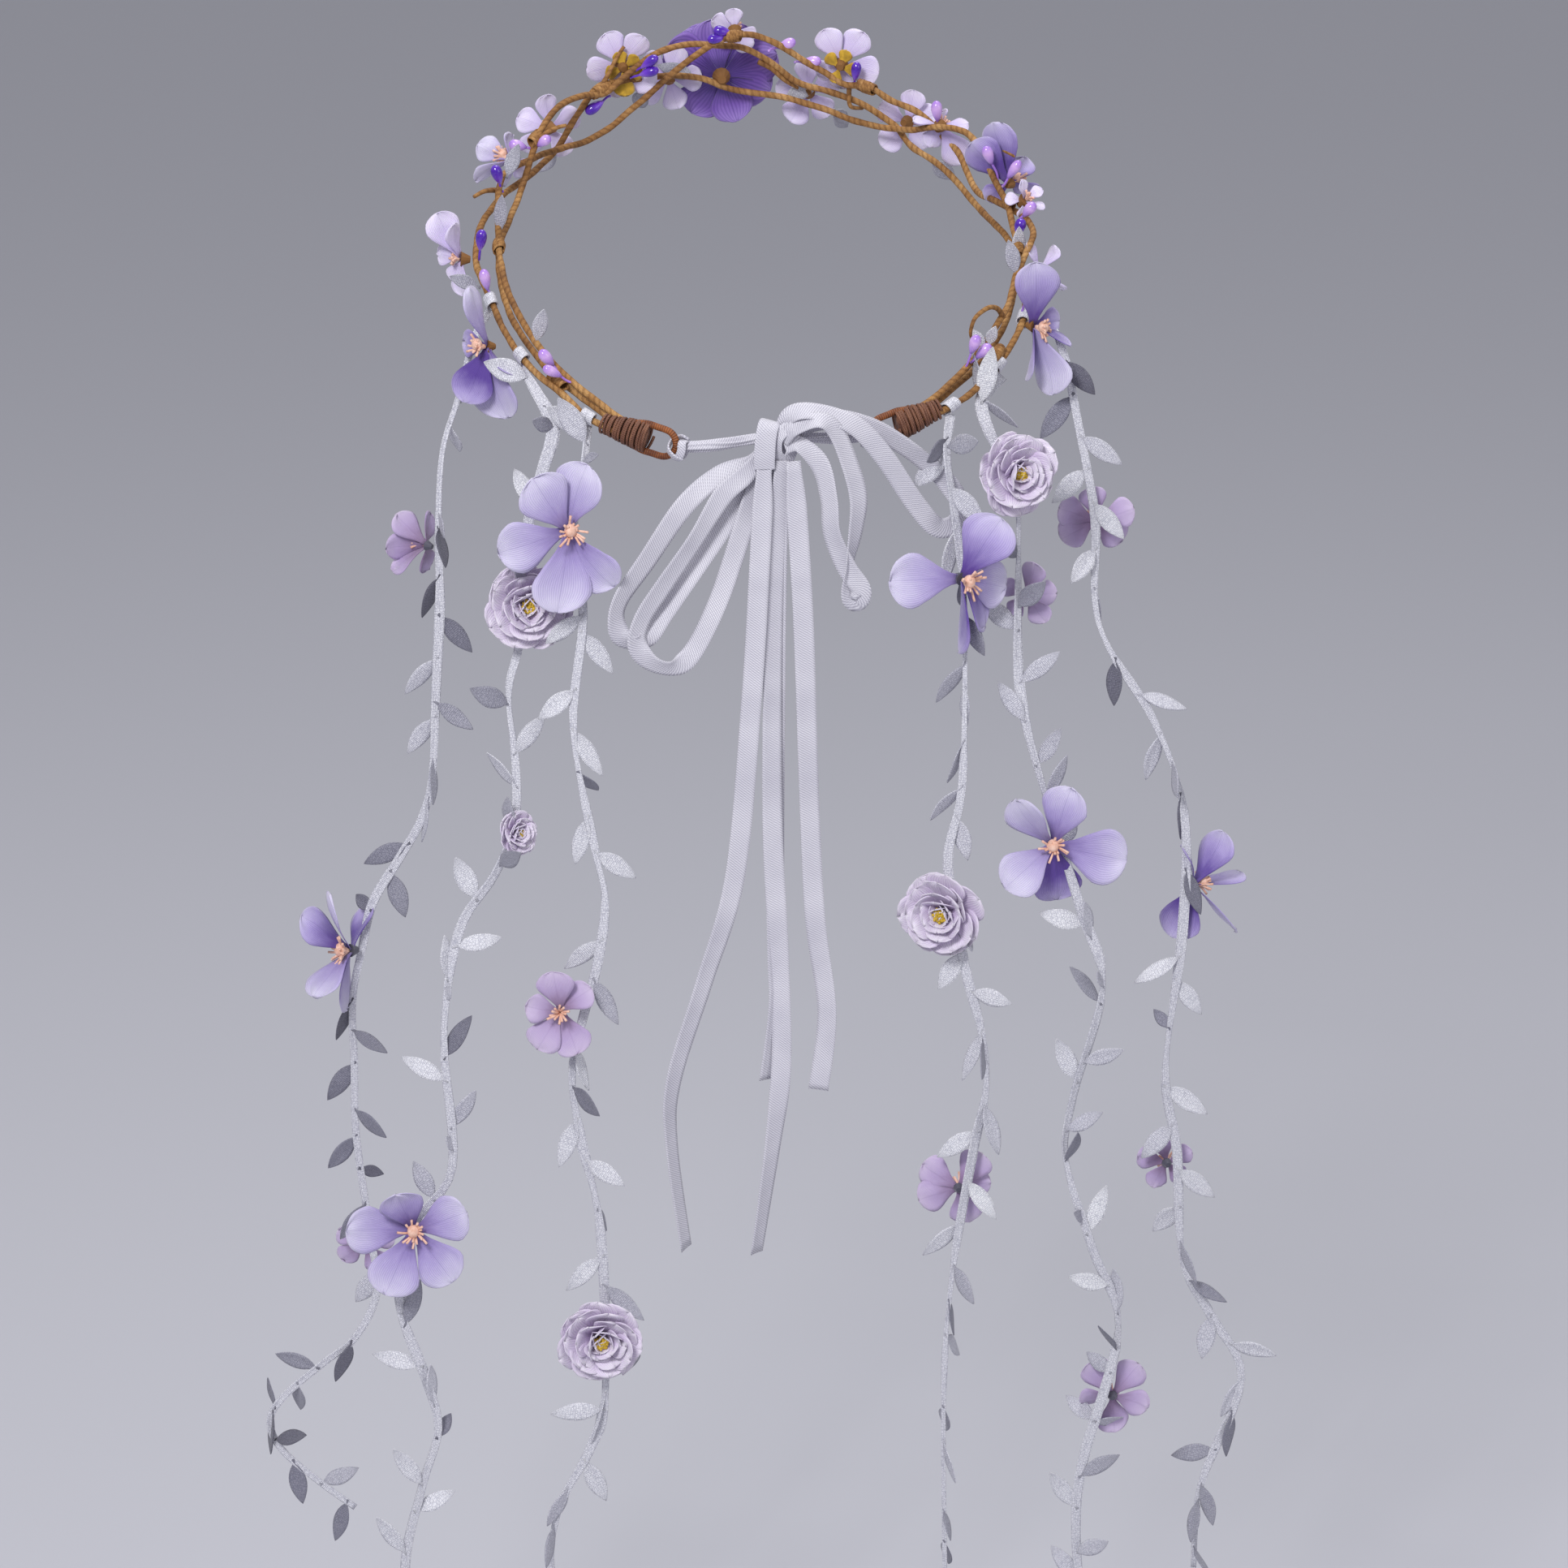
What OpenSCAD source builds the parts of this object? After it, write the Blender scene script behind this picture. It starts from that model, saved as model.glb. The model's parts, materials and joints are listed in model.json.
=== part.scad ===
// Flower crown: three twined paper-wrapped wires in an open hoop, two wire eyes bound with
// twine, a ribbon bow tied between the eyes, and six leaf-vine garlands with cloth flowers.
// +X is the wearer's right, +Y is forward, +Z is up. The origin is the centre of the hoop.

/* [Hoop] */
// half width of the hoop across the head
hoop_half_w = 92; // [77:1:110]
// half depth of the hoop, front to back in its own plane
hoop_half_d = 96; // [80:1:115]
// how far the front is lifted above the back
tilt = 33; // [20:1:45]
// thickness of one wrapped wire
wire_d = 2.4; // [2:0.1:2.9]

/* [Eyes and bindings] */
// thickness of the eye wire
eye_wire_d = 2.4; // [2:0.1:2.9]
// width of the eye loop, outside
eye_w = 12; // [10:0.5:14.5]
// length of the straight sides of the eye
eye_straight = 12; // [10:0.5:14]
// length of the twine binding
bind_len = 17; // [14:0.5:20.5]
// width of the binding at the eye end
bind_w = 11; // [9.2:0.2:13.2]

/* [Ribbon] */
// width of the satin ribbon
ribbon_w = 7; // [5.8:0.2:8.4]
// thickness of the ribbon
ribbon_t = 0.5; // [0.4:0.05:0.6]

/* [Garlands] */
// width of the flat vine stem
stem_w = 3.4; // [2.8:0.2:4]
// thickness of the vine stem
stem_t = 1.2; // [1:0.1:1.5]
// length of a leaf
leaf_l = 15; // [12.5:0.5:18]
// width of a leaf
leaf_w = 7; // [5.8:0.2:8.4]
// thickness of a tie ring round the wire
tie_d = 1.6; // [1.3:0.1:1.9]
// free room between a tie ring and the wire it swings on
tie_gap = 0.35; // [0.3:0.01:0.42]

/* [Flowers] */
// reach of a large flower's petals
large_r = 20; // [16.5:0.5:24]
// reach of a small flower's petals
small_r = 12; // [10:0.5:14.5]
// reach of a paper rose
rose_r = 12.5; // [10.5:0.5:15]
// thickness of a petal
petal_t = 0.8; // [0.6:0.1:1]
// length of the calyx that joins a flower to its vine
calyx = 5; // [4.6:0.2:6]

/* [Hidden] */
twig = [0.61, 0.42, 0.17];
twine = [0.48, 0.29, 0.21];
silver = [0.82, 0.83, 0.88];
satin = [0.79, 0.79, 0.85];
lilac = [0.72, 0.64, 0.9];
violet = [0.48, 0.31, 0.75];
rose_c = [0.8, 0.73, 0.88];
peach = [0.94, 0.75, 0.63];
mustard = [0.72, 0.56, 0.1];

// Each wire: angle round the hoop from the back towards the wearer's right, out, up.
path_1 = [
  [30, 1.5, 0], [34, 2.5, 0], [40, 4, 0], [47, 5, 0], [55, 5, 0], [62, 5, 0], [70, 5, 0],
  [77, 3, 1], [88, 0, 1], [102, 0, 1], [111, 0, 2], [121, 2, 4], [126, 1, 2], [131, -0.5, -2],
  [137, -1, -10], [144, -1, -16], [151, -2, -18], [160, -2, -17], [170, -1, -16], [181, 0, -14],
  [190, 1, -7], [198, 2, -4], [206, 3, -2], [213, 4, 0], [219, 4, -8], [226, 2, -15],
  [236, 2, -15], [248, 4, -9], [260, 6, -3], [270, 7, 0], [277, 6, 0], [283, 5, 0],
  [291, 5, 0], [299, 5, 0], [306, 5, 0], [312, 4, -1], [319, 4, -3], [325, 3, -4], [330, 1.5, -4]
];
path_2 = [
  [30, -1, 1.3], [36, -1.5, 1.5], [44, -2, 2], [52, -2, 3], [60, -2, 4], [70, -1, 4], [77, -1, 5],
  [84, 2, 6], [90, 5, 5], [95, 5, 3], [100, 4, -2], [107, -1, -5], [115, -1, -13],
  [122, 2, -14], [127, 4, -12], [132, 4, -10], [138, 3.5, -6], [145, 1.5, -5], [151, 1, -2],
  [156, 1, -5], [161, 1, -2], [166, 0, 3], [174, 0, 11], [182, -1, 14], [191, -1.5, 6],
  [201, -2, -6], [209, -2, -14], [218, -2, -17], [226, -2, -12], [233, 1, -9], [240, 3.5, -6],
  [246, 4, -1], [251, 3, 2], [260, 0, 4], [270, -1, 4], [280, -1, 4], [290, -1, 4], [300, -1, 3],
  [311, -1.5, 1], [319, -2, -1], [325, -1.5, -2.5], [330, -1, -2.7]
];
path_3 = [
  [30, -1, -1.3], [36, -1.5, -1.5], [44, -2, -2], [52, -2, -3], [60, -2, -4], [70, -1, -4],
  [79, -1, -4], [88, 1, -5], [98, -1, -9], [106, -2, -14], [114, -1, -19], [126, -1, -19],
  [138, 0, -20], [144, 2.5, -17], [152, 2, -13], [160, 2, -12], [167, 2, -10], [174, 2, -1],
  [180, 2, 5], [186, 2, 7], [192, 2, 9], [199, 2, 8], [204, 2, 4], [208, 1, 2], [213, 1, -1],
  [218, 2, 2], [224, 3, 4], [232, 1, 4], [239, -1, -1], [246, -2, -7], [256, -3, -6],
  [266, -1, -4], [276, -1, -4], [286, -1, -4], [297, -1, -3], [305, -1.5, -4], [311, -2, -4],
  [319, -2, -5], [325, -1.5, -5.5], [330, -1, -5.3]
];

// Each vine: points from its tie on the wire, and where the tie is [angle, out, up].
tie_at_l1 = [283, 5, 0];
vine_l1 = [
  [0, 0, -3], [-6, -5, -12], [-12, -9, -32], [-18, -14, -50], [-20, -19, -76], [-20, -22, -102],
  [-22, -26, -132], [-24, -30, -162], [-28, -32, -178], [-36, -33, -192], [-46, -35, -208],
  [-50, -36, -224], [-54, -36, -244], [-54, -36, -268], [-54, -36, -296], [-50, -36, -334],
  [-48, -36, -356], [-56, -36, -374], [-68, -36, -384], [-82, -36, -396], [-88, -36, -406],
  [-84, -36, -418], [-70, -36, -432], [-58, -36, -442]
];
tie_at_l2 = [299, 5, 0];
vine_l2 = [
  [-0.9, 1.3, -2.9], [4, -11, -9], [10, -19, -21], [6, -24, -35], [1, -25, -53], [1, -26, -71],
  [-3, -27, -96], [-7, -29, -113], [-5, -33, -138], [-6, -37, -158], [-13, -40, -175],
  [-26, -43, -195], [-32, -45, -233], [-30, -45, -282], [-44, -45, -304], [-50, -45, -332],
  [-41, -45, -363], [-37, -45, -383], [-43, -45, -405], [-50, -45, -437], [-45, -45, -463],
  [-41, -45, -483]
];
tie_at_l3 = [319, 4, -3];
vine_l3 = [
  [0, 0, -3], [-1, -6, -10], [-3, -11, -22], [-6, -14, -38], [-3, -16, -66], [-7, -20, -106],
  [0, -25, -149], [3, -27, -166], [0, -29, -189], [-9, -30, -225], [-7, -30, -251],
  [0, -30, -289], [1, -30, -352], [-5, -30, -374], [-16, -30, -396], [-19, -30, -419],
  [-15, -30, -446], [-11, -30, -466]
];
tie_at_r1 = [40, 4, 0];
vine_r1 = [
  [0, 0, -3], [-2, -8, -15], [0, -12, -32], [3, -15, -56], [4, -17, -80], [3, -21, -131],
  [-2, -24, -158], [4, -28, -195], [10, -28, -219], [12, -28, -240], [8, -28, -262],
  [1, -28, -308], [-2, -28, -352], [-1, -28, -427], [0, -28, -458]
];
tie_at_r2 = [55, 5, 0];
vine_r2 = [
  [1, 1.1, -2.9], [-6, -8, -10], [-4, -13, -20], [4, -17, -36], [6, -18, -50], [6, -21, -96],
  [8, -24, -118], [14, -28, -142], [28, -35, -188], [36, -37, -216], [26, -37, -258],
  [24, -37, -282], [34, -37, -316], [44, -37, -348], [32, -37, -400], [30, -37, -426],
  [32, -37, -454]
];
tie_at_r3 = [70, 5, 0];
vine_r3 = [
  [0, 0, -3], [9, 3, -4], [14, 0, -13], [19, -4, -37], [25, -9, -71], [25, -13, -100],
  [30, -16, -117], [46, -19, -143], [57, -23, -176], [57, -26, -221], [52, -26, -273],
  [57, -26, -305], [60, -26, -347], [71, -26, -370], [83, -26, -396], [69, -26, -438],
  [67, -26, -472]
];

// Ribbon lengths: points from the knot.
loop_a = [
  [-4, 0, -3], [-14, -1, -9], [-30, -2, -23], [-44, -3, -40], [-53, -4, -56], [-54, -5, -66],
  [-48, -6, -70], [-42, -7, -62], [-30, -6, -44], [-20, -5, -26], [-10, -4, -12], [-4.5, -2.5, -2.5]
];
loop_b = [
  [-3, 3, -5], [-12, 2, -14], [-26, 1, -34], [-40, 0, -54], [-45, 0, -66], [-40, 0, -75],
  [-32, -1, -76], [-24, -1, -62], [-14, -1, -40], [-8, 0, -20], [-4.5, 0, -7]
];
loop_c = [
  [4, 0, 3], [12, -1, 8], [24, 0, 6], [40, 4, -4], [54, 9, -16], [64, 12, -26], [62, 13, -33],
  [54, 12, -34], [44, 9, -24], [32, 4, -10], [20, 2, 0], [9, 2, 1]
];
loop_d = [
  [4, -3, 2], [12, -4, 5], [20, -4, 1], [24, -4, -12], [28, -4, -28], [27, -5, -40], [25, -5, -50],
  [28, -5, -55], [26, -6, -48], [20, -7, -40], [18, -7, -22], [13, -6, -8], [5, -6, -2]
];
tails = [
  [[-4, -4.9, -7.4], [-6, -8, -44], [-9, -11, -90], [-15, -14, -152], [-26, -16, -190], [-37, -17, -226],
    [-38, -17, -250], [-33, -17, -290]],
  [[1, -3, -7], [-1, -7, -60], [-2, -12, -129], [0, -15, -180], [1, -15.5, -220], [-2, -16, -250],
    [-8, -16, -293]],
  [[1.5, -2, -7], [0, -5, -60], [-1, -9.6, -129], [-1, -13.5, -180], [-1, -14, -200], [-4, -14, -228]],
  [[6, -4, -7], [9, -8, -60], [11, -12, -129], [13, -14, -170], [17, -15, -203], [14, -15, -232]]
];
knot = hoop([0, -2.8, 3.3]);
swing_gap = 0.4;

function unit(v) = v / norm(v);
function hoop(a) = [
  (hoop_half_w + a[1]) * sin(a[0]),
  -(hoop_half_d + a[1]) * cos(a[0]) * cos(tilt) - a[2] * sin(tilt),
  -(hoop_half_d + a[1]) * cos(a[0]) * sin(tilt) + a[2] * cos(tilt)
];
function run(a) = unit(hoop([a[0] + 1, a[1], a[2]]) - hoop([a[0] - 1, a[1], a[2]]));
function pick(p, i) = p[max(0, min(len(p) - 1, i))];
function curve(p, i, f) =
  0.5 * (2 * pick(p, i) + (pick(p, i + 1) - pick(p, i - 1)) * f
  + (2 * pick(p, i - 1) - 5 * pick(p, i) + 4 * pick(p, i + 1) - pick(p, i + 2)) * f * f
  + (3 * pick(p, i) - pick(p, i - 1) - 3 * pick(p, i + 1) + pick(p, i + 2)) * f * f * f);
function fine(p, n) = concat(
  [for (i = [0 : len(p) - 2]) for (k = [0 : n - 1]) curve(p, i, k / n)], [p[len(p) - 1]]
);
function along(p, i) = unit(pick(p, i + 1) - pick(p, i - 1));
function side(t, face) = unit(cross(face, t));
function ring(c, t, face, w, h, n) = let (s = side(t, face), u = cross(t, s))
  [for (k = [0 : n - 1]) c + s * (w / 2 * cos(360 * (k + 0.5) / n)) + u * (h / 2 * sin(360 * (k + 0.5) / n))];
function slat(c, t, face, w, h) = let (s = side(t, face), u = cross(t, s))
  [c + s * w / 2 + u * h / 2, c - s * w / 2 + u * h / 2, c - s * w / 2 - u * h / 2, c + s * w / 2 - u * h / 2];
function tied(a) = hoop(a);
function swap(v) = [[v[0]], [v[1]], [v[2]]];

module skin(rings) {
  n = len(rings[0]);
  m = len(rings);
  polyhedron(
    points = [for (r = rings) for (p = r) p],
    faces = concat(
      [[for (k = [0 : n - 1]) k]],
      [for (i = [0 : m - 2]) for (k = [0 : n - 1])
        [i * n + k, (i + 1) * n + k, (i + 1) * n + (k + 1) % n]],
      [for (i = [0 : m - 2]) for (k = [0 : n - 1])
        [i * n + k, (i + 1) * n + (k + 1) % n, i * n + (k + 1) % n]],
      [[for (k = [n - 1 : -1 : 0]) (m - 1) * n + k]]
    )
  );
}
module cord(p, w, h, n = 8, face = [0, -1, 0]) {
  skin([for (i = [0 : len(p) - 1]) ring(p[i], along(p, i), face, w, h, n)]);
}
module strap(p, w, h, face = [0, -1, 0]) {
  skin([for (i = [0 : len(p) - 1]) slat(p[i], along(p, i), face, w, h)]);
}
// Puts local X along a and local Z near b.
module set_on(c, a, b) {
  x = unit(a);
  y = unit(cross(b, x));
  z = cross(x, y);
  multmatrix([
    [x[0], y[0], z[0], c[0]], [x[1], y[1], z[1], c[1]], [x[2], y[2], z[2], c[2]], [0, 0, 0, 1]
  ]) children();
}
// Puts local Z along d.
module aim(c, d, turn = 0) {
  v = unit(d);
  translate(c) rotate([0, acos(v[2]), atan2(v[1], v[0])]) rotate([0, 0, turn]) children();
}

module wire(path) {
  color(twig) {
    p = [for (a = fine(path, 2)) hoop(a)];
    cord(p, wire_d, wire_d, 8, [0, sin(tilt), -cos(tilt)]);
  }
}
module wire_1() {
  wire(path_1);
}
module wire_2() {
  wire(path_2);
}
module wire_3() {
  wire(path_3);
}
// Short tubes of wrapped paper where wires cross.
module wire_knots() {
  color(twig) {
    for (a = [[88, 0, 1], [151, 1, -2], [182, -1, 14], [213, 1, -1], [270, -1, 4], [102, 0, 1]]) {
      set_on(hoop(a) - run(a) * 2.5, run(a), [0, 0, 1]) rotate([0, 90, 0]) difference() {
        cylinder(h = 5, d = wire_d + 1.6, $fn = 16);
        translate([0, 0, -1]) cylinder(h = 7, d = wire_d - 0.4, $fn = 16);
      }
    }
  }
}
// Side sprigs that carry buds.
module sprig(a, b, c) {
  p = fine([hoop(a), hoop(b), hoop(c)], 4);
  cord(p, wire_d * 0.7, wire_d * 0.7, 8, [0, sin(tilt), -cos(tilt)]);
}
module wire_sprigs() {
  color(twig) {
    sprig([66, -2.2, 5], [61, -5, 14], [57, -7, 9]);
    sprig([236, -0.5, 3], [231, -3, 5], [228, -6, 5]);
    sprig([155, 0.5, -8], [154, -1, -12], [151, 4, -14]);
    sprig([177, 1, -16.5], [174, 4, -19], [170, 6, -20]);
    sprig([118, 1, 6], [112, 3, 11], [107, 7, 14]);
  }
}

left_eye = hoop([332, 0, -4]);
right_eye = hoop([28, 0, 0]);
left_run = unit([52, -20, -14]);
right_run = unit([-52, -20, -14]);
module eye(c, a) {
  r = (eye_w - eye_wire_d) / 2;
  set_on(c, a, [0, 0, 1]) {
    for (s = [-1, 1]) {
      translate([-6, 0, s * r]) rotate([0, 90, 0]) cylinder(h = eye_straight, d = eye_wire_d, $fn = 20);
    }
    translate([eye_straight - 6, 0, 0]) rotate([90, 0, 0]) rotate([0, 0, -90])
      rotate_extrude(angle = 180, $fn = 40) translate([r, 0]) circle(d = eye_wire_d, $fn = 20);
  }
}
module eye_left() {
  color(twine) eye(left_eye, left_run);
}
module eye_right() {
  color(twine) eye(right_eye, right_run);
}
module binding(c, a) {
  set_on(c, a, [0, 0, 1]) translate([1 - bind_len, 0, 0]) rotate([0, 90, 0])
    cylinder(h = bind_len, d1 = 7.5, d2 = bind_w, $fn = 28);
}
module binding_left() {
  color(twine) binding(left_eye, left_run);
}
module binding_right() {
  color(twine) binding(right_eye, right_run);
}

eye_reach = eye_straight - 6 + eye_w / 2 - eye_wire_d / 2;
left_tip = left_eye + left_run * eye_reach;
right_tip = right_eye + right_run * eye_reach;
// The ribbon's hitch round the eye wire.
module hitch(c, a) {
  set_on(c, a, [0, 0, 1]) rotate([0, 0, 0]) rotate_extrude($fn = 28)
    translate([eye_wire_d / 2 + 1.2, 0]) circle(d = 2, $fn = 16);
}
module hitch_left() {
  color(satin) hitch(left_tip, left_run);
}
module hitch_right() {
  color(satin) hitch(right_tip, right_run);
}
module ribbon_left() {
  color(satin) {
    a = left_tip + left_run * (eye_wire_d / 2 + 2.5);
    strap(fine([a, a * 0.6 + (knot + [-5, 0, 0]) * 0.4 + [0, -1, 0], knot + [-5, 0, 0]], 5), 3, 1.4);
  }
}
module ribbon_right() {
  color(satin) {
    a = right_tip + right_run * (eye_wire_d / 2 + 2.5);
    strap(fine([a, a * 0.6 + (knot + [5, 0, 0]) * 0.4 + [0, -1, -1], knot + [5, 0, 0]], 5), 4, 1.4);
  }
}
module bow_knot() {
  color(satin) translate(knot) rotate([90, 0, 0]) translate([0, 0, -4]) cylinder(h = 8, d1 = 11, d2 = 13, $fn = 24);
}
module loop(p) {
  color(satin) strap(fine([for (q = p) q + knot], 3), ribbon_w * 0.8, ribbon_t, [0, -1, 0]);
}
module loop_left_outer() {
  loop(loop_a);
}
module loop_left_inner() {
  loop(loop_b);
}
module loop_right_long() {
  loop(loop_c);
}
module loop_right_short() {
  loop(loop_d);
}
module tail(p) {
  color(satin) strap(fine([for (q = p) q + knot], 4), ribbon_w, ribbon_t);
}
module tail_1() {
  tail(tails[0]);
}
module tail_2() {
  tail(tails[1]);
}
module tail_3() {
  tail(tails[2]);
}
module tail_4() {
  tail(tails[3]);
}

// Cloth flower facing local Z, with five petals on a small hub.
module petals(r, cup, n = 5) {
  w = r * 0.7 * sin(180 / n);
  for (k = [0 : n - 1]) {
    rotate([0, 0, 360 * k / n]) rotate([0, -cup, 0]) translate([0, 0, -petal_t / 2]) linear_extrude(petal_t)
      polygon([[0, -w * 0.3], [r * 0.4, -w * 0.7], [r * 0.72, -w], [r * 0.95, -w * 0.6], [r, 0],
        [r * 0.95, w * 0.6], [r * 0.72, w], [r * 0.4, w * 0.7], [0, w * 0.3]]);
  }
  translate([0, 0, -calyx]) cylinder(h = calyx + 1.4, d = 5, $fn = 16);
}
module stamens() {
  translate([0, 0, 1]) cylinder(h = 7, d1 = 3, d2 = 6, $fn = 16);
}
module rose(r) {
  translate([0, 0, -2]) cylinder(h = 3, d1 = 5, d2 = r * 1.5, $fn = 20);
  translate([0, 0, 0.5]) cylinder(h = 3.5, d1 = r * 2, d2 = r * 1.9, $fn = 24);
  translate([0, 0, 3.5]) cylinder(h = 3, d1 = r * 1.5, d2 = r * 1.2, $fn = 20);
}
module bud() {
  cylinder(h = 6, d1 = 0.9, d2 = 4, $fn = 16);
  translate([0, 0, 6]) sphere(d = 4.2, $fn = 16);
}
module leaf() {
  translate([0, 0, -0.3]) linear_extrude(0.6)
    polygon([[0, -0.6], [leaf_l * 0.3, -leaf_w * 0.38], [leaf_l * 0.55, -leaf_w / 2],
      [leaf_l * 0.8, -leaf_w * 0.32], [leaf_l, 0], [leaf_l * 0.8, leaf_w * 0.32],
      [leaf_l * 0.55, leaf_w / 2], [leaf_l * 0.3, leaf_w * 0.38], [0, 0.6]]);
}

module tie(a) {
  color(silver) set_on(tied(a), run(a), [0, 0, 1]) rotate([0, 90, 0]) rotate_extrude($fn = 28)
    translate([wire_d / 2 + tie_gap + tie_d / 2, 0]) circle(d = tie_d, $fn = 16);
}
module stem(a, p) {
  color(silver) cord(fine([for (q = p) q + tied(a)], 3), stem_w, stem_t);
}
// Leaves stand off the stem on both sides; up is 1 where they point towards the tie.
module leaves(a, p, first, gap, up) {
  q = fine([for (v = p) v + tied(a)], 3);
  color(silver) {
    for (i = [first : gap : len(q) - 2]) {
      t = along(q, i) * (up == 1 ? -1 : 1);
      s = side(t, [0, -1, 0]);
      set_on(q[i] - t * 0.5, t + s * 0.9, [0, -1, 0.01]) leaf();
      set_on(q[i + 1] - t * 0.5, t - s * 0.9, [0, -1, 0.01]) leaf();
    }
  }
}
module blooms(a, list, r, cup = 20) {
  for (f = list) {
    aim(tied(a) + f[0], f[1], f[2]) petals(r, cup);
  }
}
module bloomed(a, list) {
  color(lilac) blooms(a, list, large_r);
  color(peach) {
    for (f = list) {
      aim(tied(a) + f[0], f[1], f[2]) stamens();
    }
  }
}
module roses(a, list) {
  color(rose_c) {
    for (f = list) {
      aim(tied(a) + f[0], f[1]) rose(rose_r * f[2]);
    }
  }
}

module tie_l1() {
  tie(tie_at_l1);
}
module stem_l1() {
  stem(tie_at_l1, vine_l1);
}
module leaves_l1() {
  leaves(tie_at_l1, vine_l1, 9, 4, 0);
}
module large_l1() {
  bloomed(tie_at_l1, [[[-54, -40, -224], [-0.8, -0.6, 0.1], 90]]);
}
module small_l1() {
  color(lilac) blooms(tie_at_l1, [[[-24, -20, -82], [-0.9, -0.4, 0.1], 0], [[-52, -32, -340], [0, 1, 0], 0]], small_r);
}
module tie_l2() {
  tie(tie_at_l2);
}
module stem_l2() {
  stem(tie_at_l2, vine_l2);
}
module leaves_l2() {
  leaves(tie_at_l2, vine_l2, 18, 4, 1);
}
module large_l2() {
  bloomed(tie_at_l2, [[[-44, -49, -304], [0, -1, 0.1], 18]]);
}
module small_l2() {
  roses(tie_at_l2, [[[0, -28, -81], [0, -1, 0.1], 1], [[-6, -40, -160], [0.6, -0.8, -0.2], 0.6]]);
}
module tie_l3() {
  tie(tie_at_l3);
}
module stem_l3() {
  stem(tie_at_l3, vine_l3);
}
module leaves_l3() {
  leaves(tie_at_l3, vine_l3, 13, 4, 0);
}
module large_l3() {
  bloomed(tie_at_l3, [[[-8, -19, -35], [0.1, -1, 0.1], 0]]);
}
module small_l3() {
  color(lilac) blooms(tie_at_l3, [[[-12, -33, -204], [-0.2, -1, 0.1], 20]], small_r);
  roses(tie_at_l3, [[[-1, -33, -328], [0, -1, 0.1], 1]]);
}
module tie_r1() {
  tie(tie_at_r1);
}
module stem_r1() {
  stem(tie_at_r1, vine_r1);
}
module leaves_r1() {
  leaves(tie_at_r1, vine_r1, 14, 4, 0);
}
module large_r1() {
  bloomed(tie_at_r1, [[[2, -20, -56], [0.3, -1, -0.1], 0]]);
}
module small_r1() {
  color(lilac) blooms(tie_at_r1, [[[3, -24, -280], [0.2, 1, 0], 0]], small_r);
  roses(tie_at_r1, [[[-3, -28, -174], [0, -1, 0.1], 0.95]]);
}
module tie_r2() {
  tie(tie_at_r2);
}
module stem_r2() {
  stem(tie_at_r2, vine_r2);
}
module leaves_r2() {
  leaves(tie_at_r2, vine_r2, 16, 4, 1);
}
module large_r2() {
  bloomed(tie_at_r2, [[[18, -34, -164], [0.1, -1, 0.1], 36]]);
}
module small_r2() {
  color(lilac) blooms(tie_at_r2, [[[9, -17, -78], [0.5, 0.8, 0], 0], [[43, -33, -376], [0.3, 1, 0], 0]], small_r);
  roses(tie_at_r2, [[[4, -19, -33], [0.1, -1, 0.1], 0.95]]);
}
module tie_r3() {
  tie(tie_at_r3);
}
module stem_r3() {
  stem(tie_at_r3, vine_r3);
}
module leaves_r3() {
  leaves(tie_at_r3, vine_r3, 8, 4, 0);
}
module large_r3() {
  bloomed(tie_at_r3, [[[61, -22, -204], [0.9, 0.4, -0.1], 90]]);
}
module small_r3() {
  color(lilac) blooms(tie_at_r3, [[[26, -5, -73], [0, 1, 0], 0], [[54, -22, -311], [0, 1, 0], 0]], small_r);
}

// Crown flowers: [angle, out, up], facing, turn.
crown_big = [
  [[295, 10.5, 0], [-1, -0.1, -0.1], 90], [[62, 10.5, 0], [0.75, -0.65, -0.1], 20],
  [[120, 6, 1.5], [0.8, 0.5, 0.1], 0], [[238, 8, -8], [-0.8, 0.6, 0.1], 0]
];
crown_little = [
  [[270, 12, 1], [-1, -0.1, 0.1], 0], [[256, 9, 6], [-0.9, 0.3, 0.3], 0], [[208, 7, 5], [-0.3, 0.6, 0.6], 0],
  [[182, 5, 18], [0, 0.5, 0.8], 0], [[157, 7, -1], [0.2, 0.7, 0.6], 0], [[131, 8, -8], [0.6, 0.7, 0.2], 0],
  [[103, 7, 5], [0.9, 0.1, 0.4], 0], [[84, 7, -2], [1, -0.1, 0.1], 0], [[224, 9, -12], [-0.6, 0.8, 0], 0],
  [[195, 6, -9], [-0.2, 1, -0.1], 0], [[165, 7, -18], [0.2, 1, -0.1], 0], [[143, 9, -20], [0.5, 0.8, -0.1], 0]
];
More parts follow.
